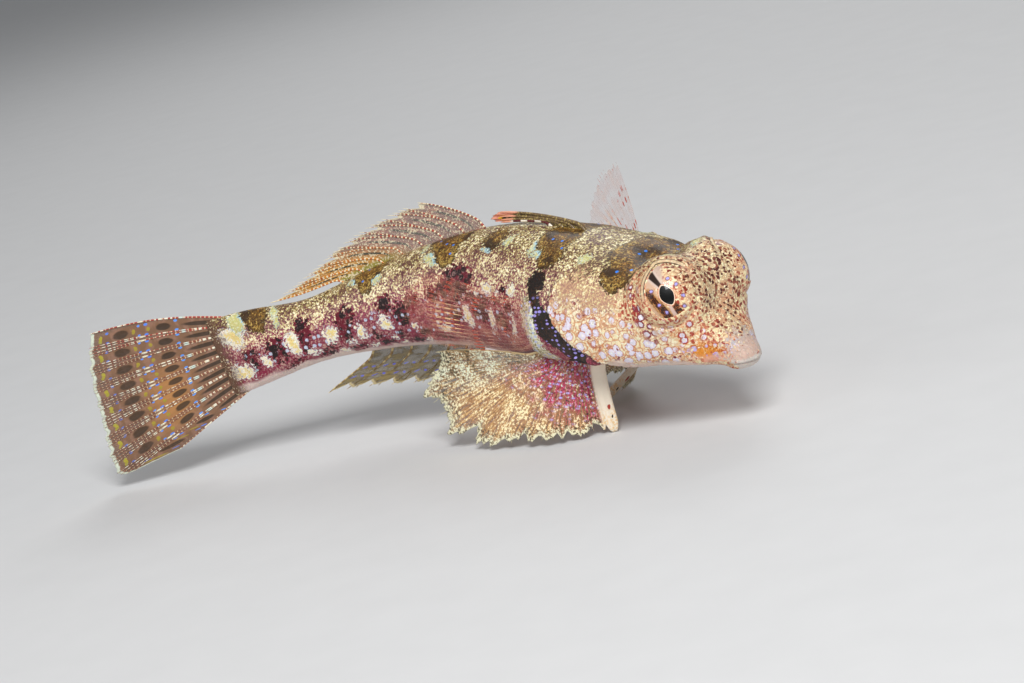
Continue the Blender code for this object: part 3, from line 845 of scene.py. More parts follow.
def skin_finish():
    """Slimy skin without scales: a wet clear coat over soft, slightly translucent colour."""
    material, tree = start_finish("slimy scaleless skin")
    place = millimetres(tree)
    share = add(tree, "SeparateXYZ", add(tree, "Attribute", attribute_name="body", out=1))
    steep = share.node.outputs[1]
    past_lid = add(tree, "SeparateXYZ", add(tree, "Attribute", attribute_name="eye_rim", out=1))
    forward, above = past_lid.node.outputs[1:3]
    marks = {}
    for name in ("saddle", "pale_edge", "blue_dot", "blotch", "pale_spot", "gill_band", "fin_base",
                 "gill_cover", "mouth"):
        marks[name] = add(tree, "Attribute", attribute_name=name, out=2)

    # Noise at the sizes of the real pattern: 2 mm clouds, 0.35 mm worms and 0.2 mm grains
    clouds = add(tree, "TexNoise", place, 0.5, 3.0, 0.6)
    worms = add(tree, "TexNoise", place, 2.9, 3.0, 0.65, 2.0, 0.7)
    grains = add(tree, "TexNoise", place, 5.2, 2.0, 0.6, 2.0, 0.4)
    ragged = add(tree, "Math ADD", worms, -0.5)
    edge = {}
    for name, amount in (("saddle", 1.4), ("pale_edge", 1.6), ("blotch", 2.6), ("pale_spot", 2.0),
                         ("gill_band", 1.4), ("fin_base", 2.6), ("gill_cover", 0.3)):
        edge[name] = add(tree, "Math MULTIPLY_ADD", ragged, amount, marks[name])

    # The flecks are grains, which gather in drifts where the worms and the clouds are high
    drift = add(tree, "Math MULTIPLY_ADD", clouds, 0.44, grains)
    drift = add(tree, "Math MULTIPLY_ADD", ragged, 0.55, drift)
    flecks = where(tree, (drift, 0.69, 0.79))
    bright = where(tree, (drift, 0.81, 0.87))
    sunken = where(tree, (drift, 0.68, 0.58))

    # The plain colours from the back to the belly, with the pale flecks over them
    low = add(tree, "Math MULTIPLY_ADD", clouds, 30.0, steep)
    above_belly = where(tree, (low, 132, 112))
    body = paint(
        tree, "#7d6442",
        ((low, 44, 68), "#9c6866"),
        ((low, 74, 88), "#aa4c6a"),
        ((low, 94, 106), "#8e2342"),
        (sunken, above_belly, "#5c3236"),
        ((low, 144, 160), "#e6cdc4"),
    )
    pale = paint(tree, "#cdb878", ((low, 50, 76), "#e0cb94"), ((low, 92, 108), "#e0bfb8"))
    body = paint(
        tree, body,
        (flecks, add(tree, "MapRange", low, 104, 84, 0.16, 1.0), pale),
        (bright, add(tree, "MapRange", low, 108, 86, 0.25, 1.0), "#fbf0cc"),
    )

    # The head: cream and gold under small specks, mauve behind the eye, and brown on the nape
    torn_share = add(tree, "Math MULTIPLY_ADD", ragged, 0.10, share)
    torn_low = add(tree, "Math MULTIPLY_ADD", ragged, 60.0, low)
    dark_above = where(tree, (torn_low, 58, 30))
    head = speckled(tree, place, clouds, dark_above)
    cover = paint(
        tree, "#d1a582",
        ((clouds, 0.47, 0.6), "#a97c78"),
        (sunken, 0.6, "#9a6a62"),
        (flecks, "#ecd59a"),
        (bright, "#fdf1c8"),
    )
    head = paint(tree, head, ((torn_share, 0.185, 0.215), cover))
    nape = paint(tree, "#765844", (sunken, 0.7, "#523a2c"), (flecks, "#bda76c"), (bright, "#e6dfa8"))
    head = paint(tree, head, ((torn_low, 62, 46), (torn_share, 0.15, 0.18), nape))

    # The cheek: cream white and gold, with lavender white spots ringed in rust
    spots = add(tree, "TexVoronoi", place, 1.05, 0.0, 0.5, 2.0, 0.75)
    spots = add(tree, "Math MULTIPLY_ADD", ragged, 0.5, spots)
    seam = add(tree, "TexVoronoi", place, 1.05, 0.0, 0.5, 2.0, 0.75, feature="DISTANCE_TO_EDGE")
    seam = add(tree, "Math MULTIPLY_ADD", ragged, 0.3, seam)
    cheek = paint(
        tree, "#fbe9bc",
        ((clouds, 0.45, 0.58), "#efc08c"),
        (flecks, 0.8, "#fff8dc"),
        ((seam, 0.09, 0.01), 0.7, "#c86a30"),
        ((spots, 0.52, 0.44), 0.8, "#bf5f3c"),
        ((spots, 0.44, 0.35), "#eee6f4"),
        ((spots, 0.22, 0.10), "#fdf8f4"),
    )
    freckles = add(tree, "TexVoronoi", place, 2.1)
    cheek = paint(tree, cheek, ((freckles, 0.36, 0.26), (clouds, 0.54, 0.60), "#86283a"))
    head = paint(tree, head, ((torn_low, 76, 88), (torn_share, 0.075, 0.105), cheek))

    # The snout: a brick red net round white spots, then an orange patch with lavender spots, and the lips,
    # with painted shade in the crease where they meet
    small_spots = add(tree, "TexVoronoi", place, 1.35, 0.0, 0.5, 2.0, 0.6)
    small_spots = add(tree, "Math MULTIPLY_ADD", ragged, 0.4, small_spots)
    net = paint(
        tree, "#f3cf9c",
        (flecks, "#fdeecb"),
        (sunken, 0.7, "#c8663c"),
        ((small_spots, 0.56, 0.46), "#b0402e"),
        ((small_spots, 0.36, 0.27), "#ece4f5"),
    )
    amber = paint(
        tree, "#dd8d2a",
        ((worms, 0.5, 0.58), "#b8521f"),
        ((small_spots, 0.38, 0.29), "#bdb2f0"),
    )
    lip = paint(
        tree, "#cfb0a0",
        ((clouds, 0.45, 0.6), "#c3b4ac"),
        ((low, 100, 122), "#ddd2c8"),
        (flecks, 0.3, "#e9dccf"),
        (band(tree, share, 0.036, 0.007, 0.004), band(tree, low, 70, 22, 10), flecks, "#d9d6ee"),
        # Painted shade: a darker line in the crease where the lips meet
        ((marks["mouth"], 0.12, 0.02), 0.45, "#85574a"),
    )
    head = paint(
        tree, head,
        (band(tree, torn_share, 0.084, 0.022, 0.014), band(tree, torn_low, 78, 15, 8), net),
        (band(tree, torn_share, 0.062, 0.019, 0.007), band(tree, torn_low, 93, 9, 5), amber),
        (band(tree, torn_share, 0.056, 0.013, 0.008), band(tree, low, 110, 10, 5), "#e8a68c"),
        ((torn_share, 0.046, 0.034), lip),
        ((low, 118, 130), add(tree, "MapRange", share, 0.05, 0.09), "#ecd3c4"),
    )

    # Below and behind the eyes: a row of white spots ringed in maroon
    rings = add(tree, "TexVoronoi", place, 1.25, 0.0, 0.5, 2.0, 0.55)
    rings = add(tree, "Math MULTIPLY_ADD", ragged, 0.5, rings)
    beneath = add(tree, "Math MULTIPLY_ADD", above, 0.8, forward)
    beneath = where(
        tree, (beneath, -2.2, -3.2), band(tree, past_lid, 1.25, 0.6, 0.35), (above, 0.6, -0.4),
    )
    head = paint(
        tree, head,
        (beneath, (rings, 0.56, 0.46), "#8a2a34"),
        (beneath, (rings, 0.36, 0.28), "#eee6ee"),
    )

    # Folds over and behind the eyes: two thin dark lines with a cream one between them
    behind = add(tree, "Math SUBTRACT", add(tree, "Math MULTIPLY", above, 0.6), forward)
    behind = where(tree, (behind, 0.3, 1.8))
    head = paint(
        tree, head,
        (behind, band(tree, past_lid, 0.24, 0.16, 0.06), 0.7, "#ecd2a8"),
        (behind, band(tree, past_lid, 0.10, 0.04, 0.03), "#2e1c14"),
        (behind, band(tree, past_lid, 0.42, 0.03, 0.03), 0.8, "#3f281c"),
    )

    colour = paint(tree, body, ((edge["gill_cover"], -0.05, 0.05), head))

    # Lower flank: maroon cells with crimson edges, and cream spots that have blue grey rims
    cells = add(tree, "TexVoronoi", place, 1.5, 0.0, 0.5, 2.0, 0.9)
    blotch = paint(
        tree, "#1c0506",
        ((cells, 0.52, 0.64), "#6a0c22"),
        ((edge["blotch"], -0.20, -0.04), "#84122f"),
        (bright, 0.3, "#d8a8a0"),
    )
    spot = paint(
        tree, "#f4dc90",
        ((edge["pale_spot"], -0.45, -0.2), "#fdf6e4"),
        ((edge["pale_spot"], -0.10, -0.02), "#b9c3d2"),
        (sunken, 0.3, "#d2a878"),
    )
    pearls = where(
        tree, (small_spots, 0.30, 0.22), band(tree, torn_low, 113, 13, 5), (share, 0.40, 0.45),
    )
    colour = paint(
        tree, colour,
        ((edge["blotch"], 0.08, -0.04), blotch),
        (pearls, "#c9d0e2"),
        ((edge["pale_spot"], 0.05, -0.04), spot),
    )

    # Back: golden olive saddles with dark edges, pale corners and bright blue dots
    saddle = paint(
        tree, "#694817",
        ((worms, 0.5, 0.58), "#a06c22"),
        ((grains, 0.46, 0.40), "#422b0f"),
        (flecks, add(tree, "MapRange", edge["saddle"], -0.9, -0.3, 0.0, 0.5), "#b89a50"),
        ((clouds, 0.48, 0.40), "#3e280f"),
        (bright, 0.5, "#cdb565"),
        ((edge["saddle"], -0.2, -0.06), 0.8, "#24160a"),
    )
    corner = paint(
        tree, "#d2cb80",
        (flecks, 0.6, "#e8e3b6"),
        ((edge["saddle"], 0.26, 0.12), "#b5d9e2"),
        ((edge["pale_edge"], -0.14, -0.04), "#bfd6cf"),
        (sunken, 0.4, "#9a9468"),
    )
    off_lids = where(tree, (past_lid, 0.6, 1.0))
    colour = paint(
        tree, colour,
        (off_lids, (edge["pale_edge"], 0.04, -0.04), corner),
        (off_lids, (edge["saddle"], 0.04, -0.04), saddle),
        (off_lids, (marks["blue_dot"], 0.03, -0.03), "#2f86f2"),
    )

    # Behind the gill cover: a black brown band with lavender ovals, the mint fin base, and painted shade in a
    # thin strip under the cover's edge
    flat = add(tree, "VectorMath MULTIPLY", place, (0.75, 0.75, 1.25))
    ovals = add(tree, "TexVoronoi", flat, 2.1, 0.0, 0.5, 2.0, 0.5)
    oval_mask = where(tree, (ovals, 0.38, 0.28), (steep, 66, 74))
    gill_band = paint(tree, "#1a0e08", (sunken, 0.6, "#4f2e18"), (oval_mask, "#a79ae8"))
    mint = paint(tree, "#d3cba0", (flecks, "#f0f1dc"), (sunken, "#7f7758"), (oval_mask, "#c3cbe8"))
    not_head = where(tree, (marks["gill_cover"], 0.1, 0.0))
    colour = paint(
        tree, colour,
        (not_head, (edge["fin_base"], 0.1, -0.1), mint),
        (not_head, (edge["gill_band"], 0.06, -0.04), gill_band),
        # Painted shade: a thin dark strip on the body just under the gill cover's edge
        (add(tree, "MapRange", marks["gill_cover"], -0.28, -0.05, 0.0, 0.6), not_head, "#2a1610"),
    )

    # The skin thins out over the roots of the tail fin's rays, in streaks along them
    streak = add(tree, "TexNoise", None, steep, 0.16, 2.0, noise_dimensions="1D")
    ends = add(tree, "Math MULTIPLY_ADD", streak, 0.09, share)
    ends = add(tree, "Math MULTIPLY_ADD", ragged, 0.03, ends)
    rays_end = paint(tree, "#805a44", ((streak, 0.47, 0.53), "#3b2616"), (bright, 0.7, "#e8d6ae"))
    colour = paint(tree, colour, ((ends, 1.088, 1.112), rays_end))

    height = add(tree, "Math ADD", flecks, add(tree, "Math MULTIPLY", grains, 0.6))
    end_finish(
        tree, colour, height, 0.035, 0.5, coat_weight=0.16, coat_roughness=0.18,
        subsurface_weight=0.08, subsurface_scale=0.4 * MM, specular_ior_level=0.35,
    )
    return material


skin.data.materials.append(skin_finish())
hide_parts("head", "torso", "tail")
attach(skin, "root")


# The eyes
# Wet domes set high in the head, with a clear cornea over an iris that is patterned like the
# skin. A dark bar crosses it through a black, almost diamond shaped pupil with a bright rim.

PUPIL = (0.88, 0.58)
PUPIL_CENTRE = (0.06, 0.03)
PUPIL_LEAN = -41.0

# The iris is turned a little ahead of and above the eyeball's own middle
GAZE = (0.27, 0.08)
EYE_ROUND = 120
EYE_RINGS = 84

# The eyeball's half width and half depth, as shares of its radius
EYE_WIDE = 0.995
EYE_DEEP = 0.855

# Bars of the iris: where each starts and ends across the eye, and its half widths there, in mm
EYE_BARS = {
    "upper_bar": ((-0.62, 0.55), (-2.70, 1.55), 0.15, 0.40),
    "lower_bar": ((0.78, -0.36), (1.90, -1.55), 0.22, 0.40),
    "rear_bar": ((-1.60, -0.35), (1.00, -1.85), 0.26, 0.38),
    "wedge": ((0.42, -0.60), (1.65, -1.85), 0.10, 0.22),
}


def near_bar(x, y, bar):
    """Distance from a bar across the eye, less than 0 inside it."""
    (start_x, start_y), (end_x, end_y), half_start, half_end = bar
    run = np.array([end_x - start_x, end_y - start_y])
    t = ((x - start_x) * run[0] + (y - start_y) * run[1]) / (run @ run)
    t = np.clip(t, 0, 1)
    distance = np.hypot(x - start_x - t * run[0], y - start_y - t * run[1])
    return distance - (half_start + (half_end - half_start) * t)


def make_eye(name, side):
    """An eyeball flattened along its axis, which keeps the fields that its iris is painted by."""
    centre, axis, level, upright = eye_axes(side)
    bands = np.linspace(0, 1, EYE_RINGS + 1)[1:-1] ** 1.25 * math.pi
    around = np.linspace(0, 2 * math.pi, EYE_ROUND, endpoint=False)
    rings = []
    plane = []
    for polar in bands:
        x = EYE_RADIUS * EYE_WIDE * math.sin(polar) * np.cos(around)
        y = EYE_RADIUS * EYE_WIDE * math.sin(polar) * np.sin(around)
        high = EYE_DEEP * EYE_RADIUS * math.cos(polar)
        rings.append(centre + level * x[:, None] + upright * y[:, None] + axis * high)
        plane.append(np.stack([x, y, np.full_like(x, high)], axis=1))
    points, faces = closed_loft(rings)
    points[-2] = tuple(centre + axis * EYE_DEEP * EYE_RADIUS)
    points[-1] = tuple(centre - axis * EYE_DEEP * EYE_RADIUS)
    x, y, high = np.concatenate([*plane, [[0, 0, 2.5], [0, 0, -2.5]]]).T
    piece = mesh_object(name, points, faces)
    face_out(piece)
    x = x - GAZE[0]
    y = y - GAZE[1]
    lean = math.radians(PUPIL_LEAN)
    x_off, y_off = x - PUPIL_CENTRE[0], y - PUPIL_CENTRE[1]
    across = x_off * math.cos(lean) + y_off * math.sin(lean)
    upward = y_off * math.cos(lean) - x_off * math.sin(lean)
    pupil = (np.abs(across / PUPIL[0]) ** 1.6 + np.abs(upward / PUPIL[1]) ** 1.6) ** (1 / 1.6) - 1
    stored(piece, "iris", np.stack([x, y, high], axis=1))
    stored(piece, "pupil", pupil * 0.66)
    for bar_name, bar in EYE_BARS.items():
        stored(piece, bar_name, near_bar(x, y, bar))
    return piece


def eye_finish():
    """A wet cornea, glossy as glass, over the painted iris."""
    material, tree = start_finish("wet cornea over patterned iris")
    plane = add(tree, "Attribute", attribute_name="iris", out=1)
    x = add(tree, "SeparateXYZ", plane)
    y = x.node.outputs[1]
    field = {name: add(tree, "Attribute", attribute_name=name, out=2) for name in ("pupil", *EYE_BARS)}
    place = millimetres(tree)
    clouds = add(tree, "TexNoise", place, 0.5, 3.0, 0.6)
    fibres = add(tree, "TexNoise", place, 5.0, 2.0, 0.6, 2.0, 0.5)
    torn = add(tree, "Math MULTIPLY_ADD", fibres, 0.9, -0.45)
    upper = where(tree, (add(tree, "Math MULTIPLY_ADD", x, 0.5, y), 0.7, 2.6))
    sheen = add(tree, "Math MULTIPLY_ADD", x, 1.3, y)
    sheen = where(tree, band(tree, sheen, -0.35, 0.75, 0.5), (y, 0.2, 0.8))
    colour = paint(
        tree, speckled(tree, place, clouds, upper),
        (sheen, 0.85, "#cbb2a2"),
        ((add(tree, "Math MULTIPLY_ADD", x, 0.8, y), -0.3, -1.0), "#d3b094"),
    )
    brown = paint(tree, "#38190c", ((fibres, 0.52, 0.60), "#94521f"))
    stripes = add(tree, "Math PINGPONG", add(tree, "Math MULTIPLY_ADD", x, 0.8, y), 0.17)
    stripes = where(tree, (stripes, 0.06, 0.11))
    reach = {name: add(tree, "Math MULTIPLY_ADD", torn, 0.35, value) for name, value in field.items()}
    colour = paint(
        tree, colour,
        ((reach["rear_bar"], 0.30, 0.0), "#c08a52"),
        ((reach["rear_bar"], 0.16, -0.06), stripes, brown),
        ((reach["rear_bar"], 0.0, -0.14), brown),
        ((field["upper_bar"], 0.30, 0.1), "#d8c0b0"),
        ((field["upper_bar"], 0.06, -0.06), "#2f2018"),
        ((reach["lower_bar"], 0.06, -0.06), brown),
        ((field["wedge"], 0.05, -0.06), "#dcbcae"),
        ((reach["pupil"], 0.17, 0.11), "#c65a26"),
        ((field["pupil"], 0.12, 0.08), "#fbdcbf"),
        ((field["pupil"], 0.04, 0.01), "#020202"),
    )
    dots = ((-1.35, -0.1), (-0.3, -1.0), (0.45, -1.4), (0.5, 1.15), (1.35, 0.45), (1.7, -0.4), (-0.35, 1.4))
    for dot_x, dot_y in dots:
        away = add(tree, "VectorMath SUBTRACT", plane, (dot_x, dot_y, 0))
        away = add(tree, "VectorMath MULTIPLY", away, (1, 1, 0))
        far = add(tree, "VectorMath LENGTH", away, out=0)
        far = add(tree, "Math MULTIPLY_ADD", torn, 0.3, far)
        colour = paint(
            tree, colour,
            ((far, 0.25, 0.15), 0.8, "#6a3a52"),
            ((far, 0.15, 0.09), "#b0a8ee"),
        )
    end_finish(
        tree, colour, fibres, 0.01, 0.4, coat_weight=0.5, coat_roughness=0.03, specular_ior_level=0.2
    )
    return material


wet_cornea = eye_finish()
for eye_name, node_name, eye_side in (("right_eye", "eye_right", 1), ("left_eye", "eye_left", -1)):
    eye = make_eye(eye_name, eye_side)
    eye.data.materials.append(wet_cornea)
    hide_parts(node_name)
    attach(eye, "root")


# The first dorsal fin
# Four thin spines joined by an olive membrane, folded back along the nape. The lowest spine is
# banded white and dark red, and the tip of the membrane is a salmon lobe with an eye spot.

ROOT_DEPTH = 0.9
ROOT_RUN = 1.3


def fin_point(rays, place, t):
    """Points of a fin's middle surface. Place counts rays from 0, t is the share along them."""
    place, t = np.broadcast_arrays(np.asarray(place, float), np.asarray(t, float))
    count, rows, _ = rays.shape
    padded = np.concatenate([2 * rays[:1] - rays[1:2], rays, 2 * rays[-1:] - rays[-2:-1]])
    i = np.clip(np.floor(place).astype(int), 0, count - 2)
    f = (place - i)[..., None]
    row = t * (rows - 1)
    k = np.clip(np.floor(row).astype(int), 0, rows - 2)
    g = (row - k)[..., None]
    before, here, there, after = [
        padded[i + j, k] * (1 - g) + padded[i + j, k + 1] * g for j in range(4)
    ]
    return 0.5 * (
        2 * here
        + (there - before) * f
        + (2 * before - 5 * here + 4 * there - after) * f**2
        + (3 * here - before - 3 * there + after) * f**3
    )


def make_membrane(name, rays, material, notch=0.1, fray=0.03, billow=0.1, half=0.05, club=0.0,
                  between=14, seed=1, lobe=0.0):
    """The thin skin between rays: notched, frayed and bellied, and closed all round its edge."""
    rays = np.array(rays, float)
    count, rows, _ = rays.shape
    t = np.linspace(0, 1, rows)
    places = np.linspace(0, count - 1, (count - 1) * between + 1)
    part = places - np.round(places)
    frays = np.array([
        noise.noise(Vector((place * 5.3, seed * 9.7, 0.3)))
        + 0.6 * noise.noise(Vector((place * 15.0, seed * 3.1, 0.8)))
        for place in places
    ])
    reach = 0.97 - notch * (2 * np.abs(part)) ** 1.6 - fray * (0.6 + frays)
    reach -= lobe * np.abs(2 * places / (count - 1) - 1) ** 2.5
    if club:
        reach = np.where(places < 1, 1 - 0.14 * np.abs(2 * places - 1) ** 3, reach)
    sheet = fin_point(rays, places[:, None], t[None, :] * reach[:, None])
    face = np.cross(np.gradient(sheet, axis=0), np.gradient(sheet, axis=1))
    face /= np.maximum(np.linalg.norm(face, axis=2, keepdims=True), 1e-9)
    belly = billow * (1 - (2 * part) ** 2)[:, None] * t[None, :]
    sheet = sheet + face * belly[..., None]
    thick = half * (1 - 0.4 * t[None, :] ** 2) * np.ones((len(places), 1))
    if club:
        blunt = np.sqrt(np.clip(1 - ((t - 0.5) / 0.5) ** 8, 0, 1))
        thick += club * np.sqrt(np.clip(1 - (2 * places - 1) ** 2, 0, 1))[:, None] * blunt[None, :]
    thick[:, -1] *= 0.3
    sheet[:, :, 2] = np.maximum(sheet[:, :, 2], np.abs(face[:, :, 2]) * thick)
    points = np.stack([sheet + face * thick[..., None], sheet - face * thick[..., None]])
    points[..., 2] = np.maximum(points[..., 2], 0.0)
    columns = len(places)
    back = columns * rows
    faces = []
    for i in range(columns - 1):
        for k in range(rows - 1):
            a = i * rows + k
            faces.append((a, a + rows, a + rows + 1, a + 1))
            faces.append((a + 1 + back, a + rows + 1 + back, a + rows + back, a + back))
    rim = [i * rows for i in range(columns - 1)] + [back - rows + k for k in range(rows - 1)]
    rim += [i * rows + rows - 1 for i in range(columns - 1, 0, -1)] + list(range(rows - 1, 0, -1))
    for here, there in zip(rim, rim[1:] + rim[:1]):
        faces.append((here, here + back, there + back, there))
    piece = mesh_object(name, points.reshape(-1, 3), faces)
    face_out(piece)
    steps = np.linalg.norm(np.diff(sheet, axis=1), axis=2)
    along = np.concatenate([np.zeros((columns, 1)), np.cumsum(steps, axis=1)], axis=1)
    shares = t[None, :] * np.ones((columns, 1))
    table = np.stack([places[:, None] * np.ones((1, rows)), along, shares], axis=-1)
    stored(piece, "fin", np.concatenate([table, table]).reshape(-1, 3))
    piece.data.materials.append(material)
    return piece


def ray_tree():
    """Geometry Nodes that make round rods of lines, as thick as a number kept at their points."""
    tree = bpy.data.node_groups.new("fin rays", "GeometryNodeTree")
    tree.interface.new_socket("Lines", in_out="INPUT", socket_type="NodeSocketGeometry")
    tree.interface.new_socket("Sides", in_out="INPUT", socket_type="NodeSocketInt")
    tree.interface.new_socket("Thickness", in_out="INPUT", socket_type="NodeSocketFloat")
    tree.interface.new_socket("Finish", in_out="INPUT", socket_type="NodeSocketMaterial")
    tree.interface.new_socket("Rods", in_out="OUTPUT", socket_type="NodeSocketGeometry")
    lines = add(tree, "NodeGroupInput")
    sides, thickness, finish = lines.node.outputs[1:4]
    curve = add(tree, "GeometryNodeMeshToCurve", lines)
    radius = add(tree, "GeometryNodeInputNamedAttribute", "radius", data_type="FLOAT")
    radius = add(tree, "Math MULTIPLY", radius, thickness)
    profile = add(tree, "GeometryNodeCurvePrimitiveCircle", sides, 1.0)
    rods = add(tree, "GeometryNodeCurveToMesh", curve, profile, radius, True)
    rods = add(tree, "GeometryNodeSetShadeSmooth", rods)
    rods = add(tree, "GeometryNodeRealizeInstances", rods)
    rods = add(tree, "GeometryNodeSetMaterial", rods, None, finish)
    add(tree, "NodeGroupOutput", rods)
    return tree


RAY_TREE = ray_tree()


def ray_lines(rays, forks, spread, stem, thin, first=0, last=1.0):
    """The lines of rays and their branches, as points, radii, and place, length and share."""
    count, rows, _ = rays.shape
    cuts = [0.0, *forks, 1.0]
    lines = []
    for number in range(first, count):
        inner = 0 < number < count - 1
        levels = len(forks) + 1 if inner else 1
        for level in range(levels):
            start, end = (cuts[level], cuts[level + 1]) if inner else (0.0, 1.0)
            t = np.linspace(start, end, max(5, round((end - start) * rows * 0.7)))
            for signs in itertools.product((1, -1), repeat=level):
                place = np.full_like(t, number)
                for k, sign in enumerate(signs):
                    place += sign * spread / 2**k * np.clip((t - forks[k]) / (1 - forks[k]), 0, 1) ** 0.7
                points = fin_point(rays, place, t * last)
                radii = stem * (1 - (1 - thin) * t) * 0.74**level
                radii[-3:] *= np.array([0.9, 0.7, 0.35]) if end == 1.0 else 1.0
                points[:, 2] = np.maximum(points[:, 2], radii)
                steps = np.linalg.norm(np.diff(points, axis=0), axis=1)
                whole = np.linalg.norm(np.diff(rays[number], axis=0), axis=1).sum()
                along = start * whole + np.concatenate([[0], np.cumsum(steps)])
                lines.append((points, radii, np.stack([place + 0.13 * sum(signs), along, t], axis=1)))
    return lines


def make_rods(name, lines, material, sides=6):
    """Round rods made by Geometry Nodes along lines, as one plain mesh."""
    points = np.concatenate([line[0] for line in lines])
    edges = []
    start = 0
    for line in lines:
        edges += [(start + k, start + k + 1) for k in range(len(line[0]) - 1)]
        start += len(line[0])
    mesh = bpy.data.meshes.new(name)
    mesh.from_pydata([tuple(point) for point in (points + SHIFT) * MM], edges, [])
    guide = bpy.data.objects.new(name, mesh)
    bpy.context.scene.collection.objects.link(guide)
    stored(guide, "radius", np.concatenate([line[1] for line in lines]) * MM)
    stored(guide, "fin", np.concatenate([line[2] for line in lines]))
    rods = guide.modifiers.new("rays", "NODES")
    rods.node_group = RAY_TREE
    inputs = {"Sides": sides, "Thickness": 1.0, "Finish": material}
    for item in RAY_TREE.interface.items_tree:
        if item.name in inputs:
            rods[item.identifier] = inputs[item.name]
    made = evaluated_mesh(guide)
    bpy.data.objects.remove(guide)
    bpy.data.meshes.remove(mesh)
    made.name = name
    piece = bpy.data.objects.new(name, made)
    bpy.context.scene.collection.objects.link(piece)
    face_out(piece)
    return piece


def fin_start(name):
    """A fin's material and tree, with the place among rays, and length and share along them."""
    material, tree = start_finish(name)
    table = add(tree, "Attribute", attribute_name="fin", out=1)
    place = add(tree, "SeparateXYZ", table)
    return material, tree, table, place, place.node.outputs[1], place.node.outputs[2]


def dashes(tree, place, along, period, share, wobble=0.5):
    """A mask of dashes along rays, which starts at another point on each."""
    number = add(tree, "Math ROUND", place)
    shift = add(tree, "TexWhiteNoise", None, number, noise_dimensions="1D")
    jitter = add(tree, "TexNoise", None, along, 1.3 / period, 2.0, noise_dimensions="1D")
    run = add(tree, "Math MULTIPLY_ADD", along, 1 / period, shift)
    run = add(tree, "Math MULTIPLY_ADD", jitter, wobble, run)
    wave = add(tree, "Math PINGPONG", run, 0.5)
    return where(tree, (wave, share / 2 + 0.04, share / 2 - 0.04))


def ovals(tree, gap, t, beside, centre, wide, long, shake=0.0, place=None):
    """A mask of ovals in a row across a fin, each beside or between rays.

    The gap is the place among rays folded at each ray: 0 on one and 0.5 half way between two.
    """
    if shake:
        number = add(tree, "TexNoise", None, place, 1.7, noise_dimensions="1D")
        number = add(tree, "Math SUBTRACT", number, 0.5)
        t = add(tree, "Math MULTIPLY_ADD", number, shake, t)
    x = add(tree, "Math MULTIPLY", add(tree, "Math SUBTRACT", gap, beside), 1 / wide)
    y = add(tree, "Math MULTIPLY", add(tree, "Math SUBTRACT", t, centre), 1 / long)
    reach = add(tree, "VectorMath LENGTH", add(tree, "CombineXYZ", x, y))
    return where(tree, (reach, 1.12, 0.8))


def upright_ray(base, turn, length, angle, rows, sag=0.0):
    """A ray on the back or belly, leaning back over the skin, with its root sunk in it."""
    run = np.linspace(0, length, rows)
    lean = np.radians(angle - sag * run / length)
    lift = 0.3 + run * np.sin(lean) - ROOT_DEPTH * np.clip(1 - run / ROOT_RUN, 0, 1) ** 2
    return skin_point(base + run * np.cos(lean) / STANDARD_LENGTH, turn, lift)


def first_dorsal_finish(rods):
    """Olive fin skin: dull and thin, on spines as smooth as fingernail."""
    material, tree, table, place, along, t = fin_start("first dorsal spines" if rods else "olive fin skin")
    clouds = add(tree, "TexNoise", table, 1.4, 3.0)
    grains = add(tree, "TexNoise", millimetres(tree), 5.2, 2.0, 0.6)
    flecks = where(tree, (grains, 0.54, 0.62))
    lobe = where(tree, (t, 0.78, 0.84))
    low = where(tree, (place, 2.2, 2.6))
    if rods:
        white = dashes(tree, place, along, 1.7, 0.45, 0.2)
        colour = paint(
            tree, "#6a5230",
            (flecks, "#b9a25e"),
            (low, "#5e1216"),
            (low, white, "#f4ead8"),
            (lobe, "#e8a080"),
        )
        alpha = None
    else:
        colour = paint(
            tree, "#54421f",
            ((clouds, 0.5, 0.62), "#8a7236"),
            (flecks, "#cfbb78"),
            (ovals(tree, place, t, 1.2, 0.2, 0.16, 0.02), "#3f86ee"),
            (lobe, "#ea9f84"),
            (ovals(tree, place, t, 1.6, 0.87, 0.9, 0.05), "#e8b62c"),
            (ovals(tree, place, t, 1.7, 0.84, 0.6, 0.03), "#2c2710"),
        )
        alpha = add(tree, "MapRange", lobe, 0, 1, 0.93, 0.9)
    end_finish(tree, colour, clouds, 0.02, 0.45, alpha, coat_weight=0.2)
    return material


first_rays = np.array([
    upright_ray(0.355 + 0.022 * i, 0, 11.4 - 1.5 * i, 7.6 - 1.9 * i, 44, 2) for i in range(4)
])
first_dorsal = make_membrane(
    "first_dorsal", first_rays, first_dorsal_finish(False),
    notch=0.0, billow=0.25, half=0.09, seed=2, lobe=0.1,
)
first_spines = make_rods(
    "first_dorsal_spines", ray_lines(first_rays, (), 0, 0.21, 0.4, last=0.85), first_dorsal_finish(True), 8
)
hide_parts("first_dorsal_fin")
for piece in (first_dorsal, first_spines):
    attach(piece, "root")


# The second dorsal fin
# Eight soft jointed rays in thin skin on the back, the first raised and the last lying back.
# The rays are banded cream and red, and the rear of the fin turns gold.


